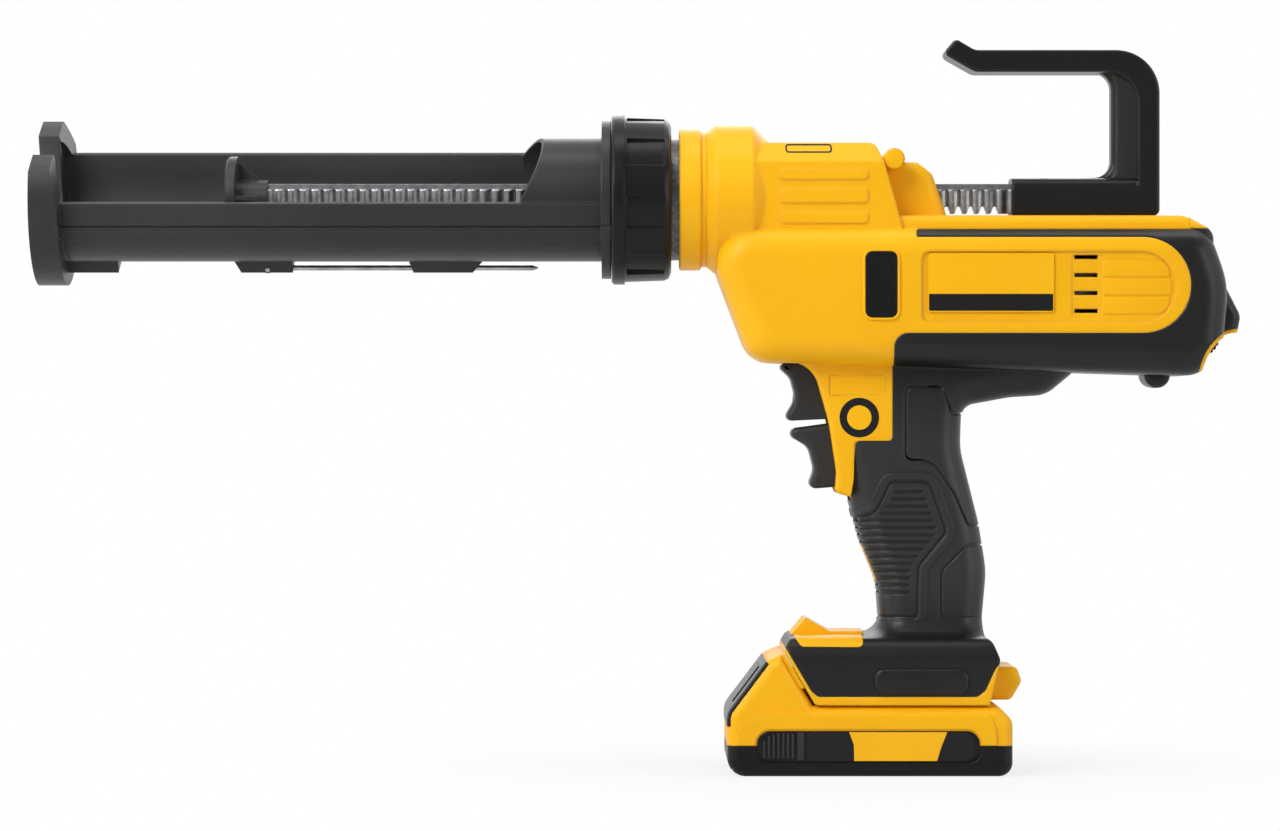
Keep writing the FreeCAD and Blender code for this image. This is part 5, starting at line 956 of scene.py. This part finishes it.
@dataclass
class Triggers(Assembly):
    """Two fat triggers and the yellow cheeks beside them."""

    half: float = 11.0
    roll: float = 2.4
    upper: Outline = (
        (-40.2, 178.2, 1.6), (-33.4, 172.0, 7.0), (-31.0, 163.0, 9.0), (-37.0, 153.0, 2.3),
        (-8.0, 154.4, 1.0), (-8.0, 178.2, 1.0),
    )
    stem: Triple = (2.0, 166.0, 26.0)
    stem_root: float = 1.0
    lower: Outline = (
        (-38.2, 149.2, 2.5), (-25.6, 141.8, 6.0), (-23.0, 132.0, 8.0), (-26.2, 123.3, 2.6),
        (-10.0, 124.6, 2.0), (-2.5, 140.0, 6.0), (-2.5, 151.6, 2.0), (-10.0, 153.0, 2.0),
    )
    hole: Corner = (-6.5, 147.0, 1.65)
    back: float = -9.5
    cheek: Outline = (
        (-37.0, 181.0, 0.0), (-23.4, 175.4, 13.0), (-17.0, 152.6, 30.0), (-13.7, 131.0, 20.0),
        (-14.4, 121.9, 3.0), (-7.6, 120.1, 1.4), (-6.3, 128.0, 6.0), (-6.0, 144.6, 1.8), (10.4, 144.6, 1.6),
        (10.4, 181.0, 0.0),
    )
    cheek_side: float = 19.56
    cheek_inner: float = 11.7
    cheek_round: float = 2.2
    cheek_back: float = -9.0
    cheek_top: float = 180.0
    sign_frame: Rect = (-17.0, 8.2, 164.0, 173.4, 1.0)
    sign_line: float = 0.5
    sign_sink: float = 0.35
    disc_place: Point = (-3.9, 154.6)
    disc_radius: float = 8.6
    disc_middle: float = 5.3
    disc_proud: float = 0.12
    disc_stack: float = 1.4

    def rolled(self, name: str, outline: Outline) -> Piece:
        """Extrude a trigger from its side view and round its sides."""
        piece = prism(name, rounded(outline), -self.half, self.half)
        return soften(piece, self.roll, 6, lambda a, b: a.y * b.y > (self.half - NEAR) ** 2
                      and max(a.x, b.x) < self.back)

    def build(self) -> None:
        """Build and finish both triggers and the cheeks."""
        upper = self.rolled("upper_trigger", self.upper)
        radius, z, reach = self.stem
        bpy.ops.object.select_all(action="DESELECT")
        bpy.ops.mesh.primitive_cylinder_add(vertices=32, radius=radius * MM, depth=reach * MM)
        stem = bpy.context.object
        with editing(stem):
            bpy.ops.transform.rotate(value=math.radians(90.0), orient_axis="Y",
                                     center_override=(0.0, 0.0, 0.0))
            middle = self.upper[-1][0] + reach / 2 - self.stem_root
            bpy.ops.transform.translate(value=(middle * MM, 0.0, z * MM))
        combine(upper, stem, "UNION")
        self.fit(upper, TROUGH_NYLON, ["speed_trigger"], "upper_trigger")
        lower = self.rolled("lower_trigger", self.lower)
        combine(lower, prism("hole", circle(*self.hole), -DEEP, DEEP), "DIFFERENCE")
        self.fit(lower, TROUGH_NYLON, ["release_trigger"], "lower_trigger")
        self.cheeks()

    def cheeks(self) -> None:
        """Build and finish the cheeks, with an empty sign frame and a plain disc."""
        face = -self.cheek_side
        cheek = prism("trigger_cheek_left", rounded(self.cheek), face, -self.cheek_inner)
        soften(cheek, self.cheek_round, 6, lambda a, b: max(a.y, b.y) < face + NEAR
               and max(a.x, b.x) < self.cheek_back and max(a.z, b.z) < self.cheek_top)
        sign = prism("sign", bar(*self.sign_frame), face - CLEAR, face + self.sign_sink, self.sign_line)
        combine(cheek, sign, "DIFFERENCE")
        self.fit_pair(cheek, YELLOW_ABS)
        for name, radius, proud, seat, finish in (
            ("disc_left", self.disc_radius, self.disc_proud, FILM_SEAT, DARK_FILM),
            ("disc_middle_left", self.disc_middle, self.disc_stack * self.disc_proud, 0.0, YELLOW_FILM),
        ):
            disc = prism(name, circle(*self.disc_place, radius), face - proud, face + seat)
            self.fit(disc, finish)


@dataclass
class Foot(Assembly):
    """Side pads of the foot and the skirt of its yellow guard."""

    half: float = 36.5
    pad: Rect = (1.6, 42.4, 35.6, 46.6, 4.4)
    pad_relief: Relief = Relief(1.6, 1.0, 1.4, 6)
    skirt: Outline = (
        (-32.2, 66.0, 0.0), (-32.2, 59.6, 0.5), (-29.6, 55.9, 2.4), (-3.0, 55.7, 2.0), (-3.0, 66.0, 0.0),
    )
    skirt_proud: float = 0.35
    skirt_inner: float = 14.0

    def build(self) -> None:
        """Build and finish pads and skirts of both sides."""
        self.raise_pair("foot_pad", bar(*self.pad), self.half, self.pad_relief, GRIP_RUBBER)
        for side in Side:
            stamp = on_side(prism("stamp", rounded(self.skirt), -DEEP, -self.skirt_inner), side)
            sheet = conform(f"overmould_{side.value}", f"guard_skirt_{side.value}", stamp, self.skirt_proud)
            self.fit(sheet, YELLOW_ABS)


@dataclass
class Trough(Assembly):
    """Raised band along the near wall of the carriage."""

    body: str = "cradle"
    band: Rect = (-351.5, -108.0, 231.4, 237.2, 0.4)
    band_inner: float = 10.0
    band_proud: float = 0.5

    def build(self) -> None:
        """Build and finish the long band."""
        stamp = prism("stamp", bar(*self.band), -DEEP, -self.band_inner)
        self.fit(conform("carriage", "wall_band_left", stamp, self.band_proud), TROUGH_NYLON)


@dataclass
class Handle(Assembly):
    """Rounded palm on both sides of the pull handle's web."""

    body: str = "rod"
    palm: Outline = (
        (100.6, 259.0, 0.0), (107.15, 259.6, 7.3), (107.15, 305.2, 7.3), (100.6, 305.6, 0.0),
        (119.0, 306.0, 0.0), (119.0, 258.6, 0.0),
    )
    palm_side: float = 9.6
    palm_inner: float = 2.0
    palm_round: float = 3.2
    palm_slant: float = 16.0
    palm_hinge: float = 119.0
    soft_past: float = 0.2
    soft_back: float = 109.0
    soft_span: Point = (259.1, 305.5)

    def build(self) -> None:
        """Build and finish the palm of both sides."""
        piece = prism("handle_palm_left", rounded(self.palm), -self.palm_side, -self.palm_inner)
        middle = -(self.palm_side + self.palm_inner) / 2
        select_only(piece)
        for vertex in piece.data.vertices:
            vertex.select = vertex.co.y < middle * MM
        bpy.ops.object.mode_set(mode="EDIT")
        bpy.ops.transform.rotate(value=math.radians(self.palm_slant), orient_axis="Z",
                                 center_override=(self.palm_hinge * MM, -self.palm_side * MM, 0.0))
        bpy.ops.object.mode_set(mode="OBJECT")
        low, high = self.soft_span
        seat = -self.palm_inner - self.soft_past
        soften(piece, self.palm_round, 8, lambda a, b: max(a.y, b.y) < seat and max(a.x, b.x) < self.soft_back
               and min(a.z, b.z) > low and max(a.z, b.z) < high)
        self.fit_pair(piece, HANDLE_NYLON)


@dataclass
class Pack(Assembly):
    """Battery pack with ribbed side bars, raised belts, gauge band and bare printed labels."""

    body: str = "battery"
    side: float = 37.5
    bar_relief: Relief = Relief(0.5, 0.5, 0.4)
    outline: Rect = (-48.8, 47.1, 6.5, 19.8, 5.6)
    rib_tops: tuple[float, ...] = (15.6, 17.6, 18.4, 18.8, 18.8, 18.8, 18.8)
    rib_front: float = -46.2
    rib_step: float = 2.05
    rib_width: float = 1.0
    rib_low: float = 8.0
    rib_corner: float = 0.45
    rib_relief: Relief = Relief(0.45, 0.3, 0.28)
    step_block: Rect = (-31.4, -28.6, 7.2, 19.2, 0.6)
    step_relief: Relief = Relief(0.45, 0.3, 0.3)
    label: Outline = ((-27.4, 6.9, 0.5), (44.6, 6.9, 5.0), (44.6, 19.4, 5.0), (-27.4, 19.4, 0.5))
    mark: Outline = (
        (-7.0, 7.0, 0.0), (28.6, 7.0, 0.0), (30.4, 13.0, 3.0), (33.0, 19.4, 0.0), (-9.2, 19.4, 0.0),
        (-7.2, 14.0, 2.0),
    )
    label_film: Relief = Relief(0.1, FILM_SEAT)
    mark_film: Relief = Relief(0.2, 0.0)
    belt: Outline = (
        (-58.2, 13.6, 0.0), (54.6, 13.6, 0.0), (54.2, 21.0, 3.0), (51.0, 28.0, 5.0), (-48.2, 27.6, 9.0),
        (-56.6, 21.0, 8.0),
    )
    skirt: Outline = ((-55.6, 13.2, 0.0), (-53.4, 3.0, 6.0), (52.0, 3.0, 6.0), (54.6, 13.2, 0.0))
    belt_proud: float = 0.8
    belt_depth: float = 1.5
    bay_room: float = 0.7
    bay_inner: float = 10.0
    band: Outline = (
        (-70.0, 21.6, 0.0), (-60.2, 21.6, 1.0), (-59.0, 25.6, 4.0), (-42.4, 47.6, 2.0), (-45.6, 50.2, 1.0),
        (-56.0, 58.0, 0.0), (-70.0, 58.0, 0.0),
    )
    band_half: float = 36.0
    band_proud: float = 0.3
    lip: Outline = ((-38.6, 52.6, 0.2), (-30.2, 38.0, 0.2), (-28.1, 38.0, 0.3), (-36.65, 52.6, 0.6))
    lip_half: float = 36.6
    lip_round: float = 0.3

    def build(self) -> None:
        """Build and finish what lies on the pack."""
        self.raise_pair("pack_bar", bar(*self.outline), self.side, self.bar_relief, BLACK_NYLON,
                        ["battery_bars"])
        base = self.side + self.bar_relief.proud
        for index, high in enumerate(self.rib_tops):
            x = self.rib_front + index * self.rib_step
            rib = bar(x, x + self.rib_width, self.rib_low, high, self.rib_corner)
            self.raise_pair(f"pack_rib_{index + 1}", rib, base, self.rib_relief, TROUGH_NYLON)
        self.raise_pair("pack_step", bar(*self.step_block), base, self.step_relief, TROUGH_NYLON)
        self.raise_pair("pack_label", rounded(self.label), base, self.label_film, DARK_FILM)
        self.raise_pair("pack_mark", rounded(self.mark), base, self.mark_film, YELLOW_FILM)
        self.belts()

    def belts(self) -> None:
        """Raise the belts of both shells and lay the gauge band and the front lip."""
        for side in Side:
            for node, outline, finish in (
                ("battery_upper", self.belt, YELLOW_ABS), ("battery_lower", self.skirt, BLACK_NYLON),
            ):
                stamp = on_side(prism("stamp", rounded(outline), -DEEP, -self.side + self.belt_depth), side)
                sheet = conform(node, f"{node}_belt_{side.value}", stamp, self.belt_proud)
                bay = prism("bay", grown(bar(*self.outline), self.bay_room), -DEEP, -self.bay_inner)
                combine(sheet, on_side(bay, side), "DIFFERENCE")
                self.fit(sheet, finish)
        stamp = prism("stamp", rounded(self.band), -self.band_half, self.band_half)
        self.fit(conform("battery_upper", "gauge_band", stamp, self.band_proud), SMOKED_WINDOW)
        lip = prism("pack_lip", rounded(self.lip), -self.lip_half, self.lip_half)
        soften(lip, self.lip_round, 2, lambda a, b: a.y * b.y > (self.lip_half - NEAR) ** 2)
        self.fit(lip, YELLOW_ABS)


@dataclass
class Studio:
    """Camera, lamps, floor and world."""

    eye: Triple = (-0.0991, -1.9, 0.1555)
    lens: float = 121.84
    sensor: float = 36.0
    clip: Point = (0.05, 50.0)
    floor_size: float = 6.0
    floor_tone: str = "#DEDEDE"
    floor_share: float = 0.82
    floor_clear: Point = (0.07, 0.24)
    floor_span: Point = (0.0, 0.5)
    lamps: tuple[tuple[str, Triple, Point, float], ...] = (
        ("key", (-0.95, -1.15, 1.2), (0.9, 0.9), 20.0),
        ("fill", (1.5, -1.1, 0.6), (0.9, 1.2), 8.5),
        ("low", (-1.3, -1.2, 0.0), (0.5, 0.2), 1.5),
        ("top", (-0.05, -0.1, 1.3), (1.8, 0.3), 6.5),
        ("left_strip", (-1.3, -0.15, 0.35), (0.2, 1.2), 5.0),
        ("right_strip", (1.25, -0.1, 0.45), (0.2, 1.2), 1.5),
        ("back", (0.1, 1.6, 1.0), (1.4, 0.8), 9.0),
    )
    target: Triple = (-0.08, 0.0, 0.16)
    sky: float = 0.2
    sky_span: Point = (-0.3, 0.5)
    room: float = 0.32

    def camera(self) -> None:
        """Set the camera at the photograph's viewing angle."""
        data = bpy.data.cameras.new("camera")
        data.lens, data.sensor_width, data.sensor_fit = self.lens, self.sensor, "HORIZONTAL"
        data.clip_start, data.clip_end = self.clip
        camera = bpy.data.objects.new("camera", data)
        camera.location = self.eye
        camera.rotation_euler = (math.radians(90.0), 0.0, 0.0)
        bpy.context.collection.objects.link(camera)
        bpy.context.scene.camera = camera

    def light(self) -> None:
        """Hang the soft lamps round the object."""
        for name, place, size, power in self.lamps:
            data = bpy.data.lights.new(name, "AREA")
            data.shape, data.size, data.size_y, data.energy = "RECTANGLE", *size, power
            lamp = bpy.data.objects.new(name, data)
            lamp.location = place
            lamp.rotation_euler = (Vector(self.target) - Vector(place)).to_track_quat("-Z", "Y").to_euler()
            bpy.context.collection.objects.link(lamp)

    def seen(self, tree: Tree, coordinate: str, span: Point) -> Source:
        """Find the share in which a ray shows the background: to the eye, through glass and in gloss.

        Gloss shows the white backdrop behind the object and a dimmer room in front of it.

        Args:
            tree: Node tree of the material or world.
            coordinate: Texture coordinate whose Y runs from the room to the backdrop.
            span: Y at which the room ends and at which the backdrop starts.

        Returns:
            The node with that share.
        """
        path = add(tree, "LightPath").outputs
        place = add(tree, "TexCoord").outputs[coordinate]
        depth = add(tree, "SeparateXYZ", {}, {0: place}).outputs["Y"]
        near, far = span
        back = add(tree, "MapRange", {"From Min": near, "From Max": far, "To Min": self.room},
                   {"Value": depth})
        gloss = add(tree, "Math", {"operation": "MULTIPLY"}, {0: path["Is Glossy Ray"], 1: back})
        direct = add(tree, "Math", {"operation": "MAXIMUM"},
                     {0: path["Is Camera Ray"], 1: path["Is Transmission Ray"]})
        return add(tree, "Math", {"operation": "MAXIMUM"}, {0: direct, 1: gloss})

    def world(self) -> None:
        """Make the background white to the eye and dimmer as a light."""
        world = bpy.data.worlds.new("studio")
        world.use_nodes = True
        bpy.context.scene.world = world
        tree = world.node_tree
        tree.nodes.clear()
        strength = add(tree, "Math", {"operation": "MAXIMUM", 1: self.sky},
                       {0: self.seen(tree, "Generated", self.sky_span)})
        back = add(tree, "Background", {"Color": WHITE}, {"Strength": strength})
        add(tree, "OutputWorld", {}, {"Surface": back})

    def floor(self) -> None:
        """Lay a pale floor that keeps the object's shadow."""
        bpy.ops.object.select_all(action="DESELECT")
        bpy.ops.mesh.primitive_plane_add(size=self.floor_size)
        floor = bpy.context.object
        floor.name = "floor"
        material = new_material("pale_floor")
        tree = material.node_tree
        place = add(tree, "TexCoord").outputs["Object"]
        away = add(tree, "VectorMath", {"operation": "LENGTH"}, {0: place})
        paint = add(tree, "BsdfDiffuse", {"Color": linear(self.floor_tone)})
        glow = add(tree, "Emission", {"Color": WHITE})
        near, far = self.floor_clear
        bright = add(tree, "MapRange", {"From Min": near, "From Max": far, "To Min": self.floor_share},
                     {"Value": away.outputs["Value"]})
        share = add(tree, "Math", {"operation": "MULTIPLY"},
                    {0: self.seen(tree, "Object", self.floor_span), 1: bright})
        both = add(tree, "MixShader", {}, {0: share, 1: paint, 2: glow})
        add(tree, "OutputMaterial", {}, {"Surface": both})
        floor.data.materials.append(material)

    def build(self) -> None:
        """Set up the whole studio."""
        bpy.context.scene.view_settings.view_transform = "Standard"
        self.camera()
        self.light()
        self.world()
        self.floor()


def main() -> None:
    """Build the studio and dress the tool."""
    logging.basicConfig(level=logging.INFO, format="%(message)s")
    Studio().build()
    paint_nodes({
        "carriage": INNER_LIT_NYLON,
        "plunger": TROUGH_NYLON,
        "rod_handle": HANDLE_NYLON,
        "feed_rack": RACK_STEEL,
        "side_plates": YELLOW_FILM,
    })
    for assembly in (Shell(), Grip(), Triggers(), Foot(), Trough(), Handle(), Pack()):
        assembly.build()


if __name__ == "__main__":
    main()
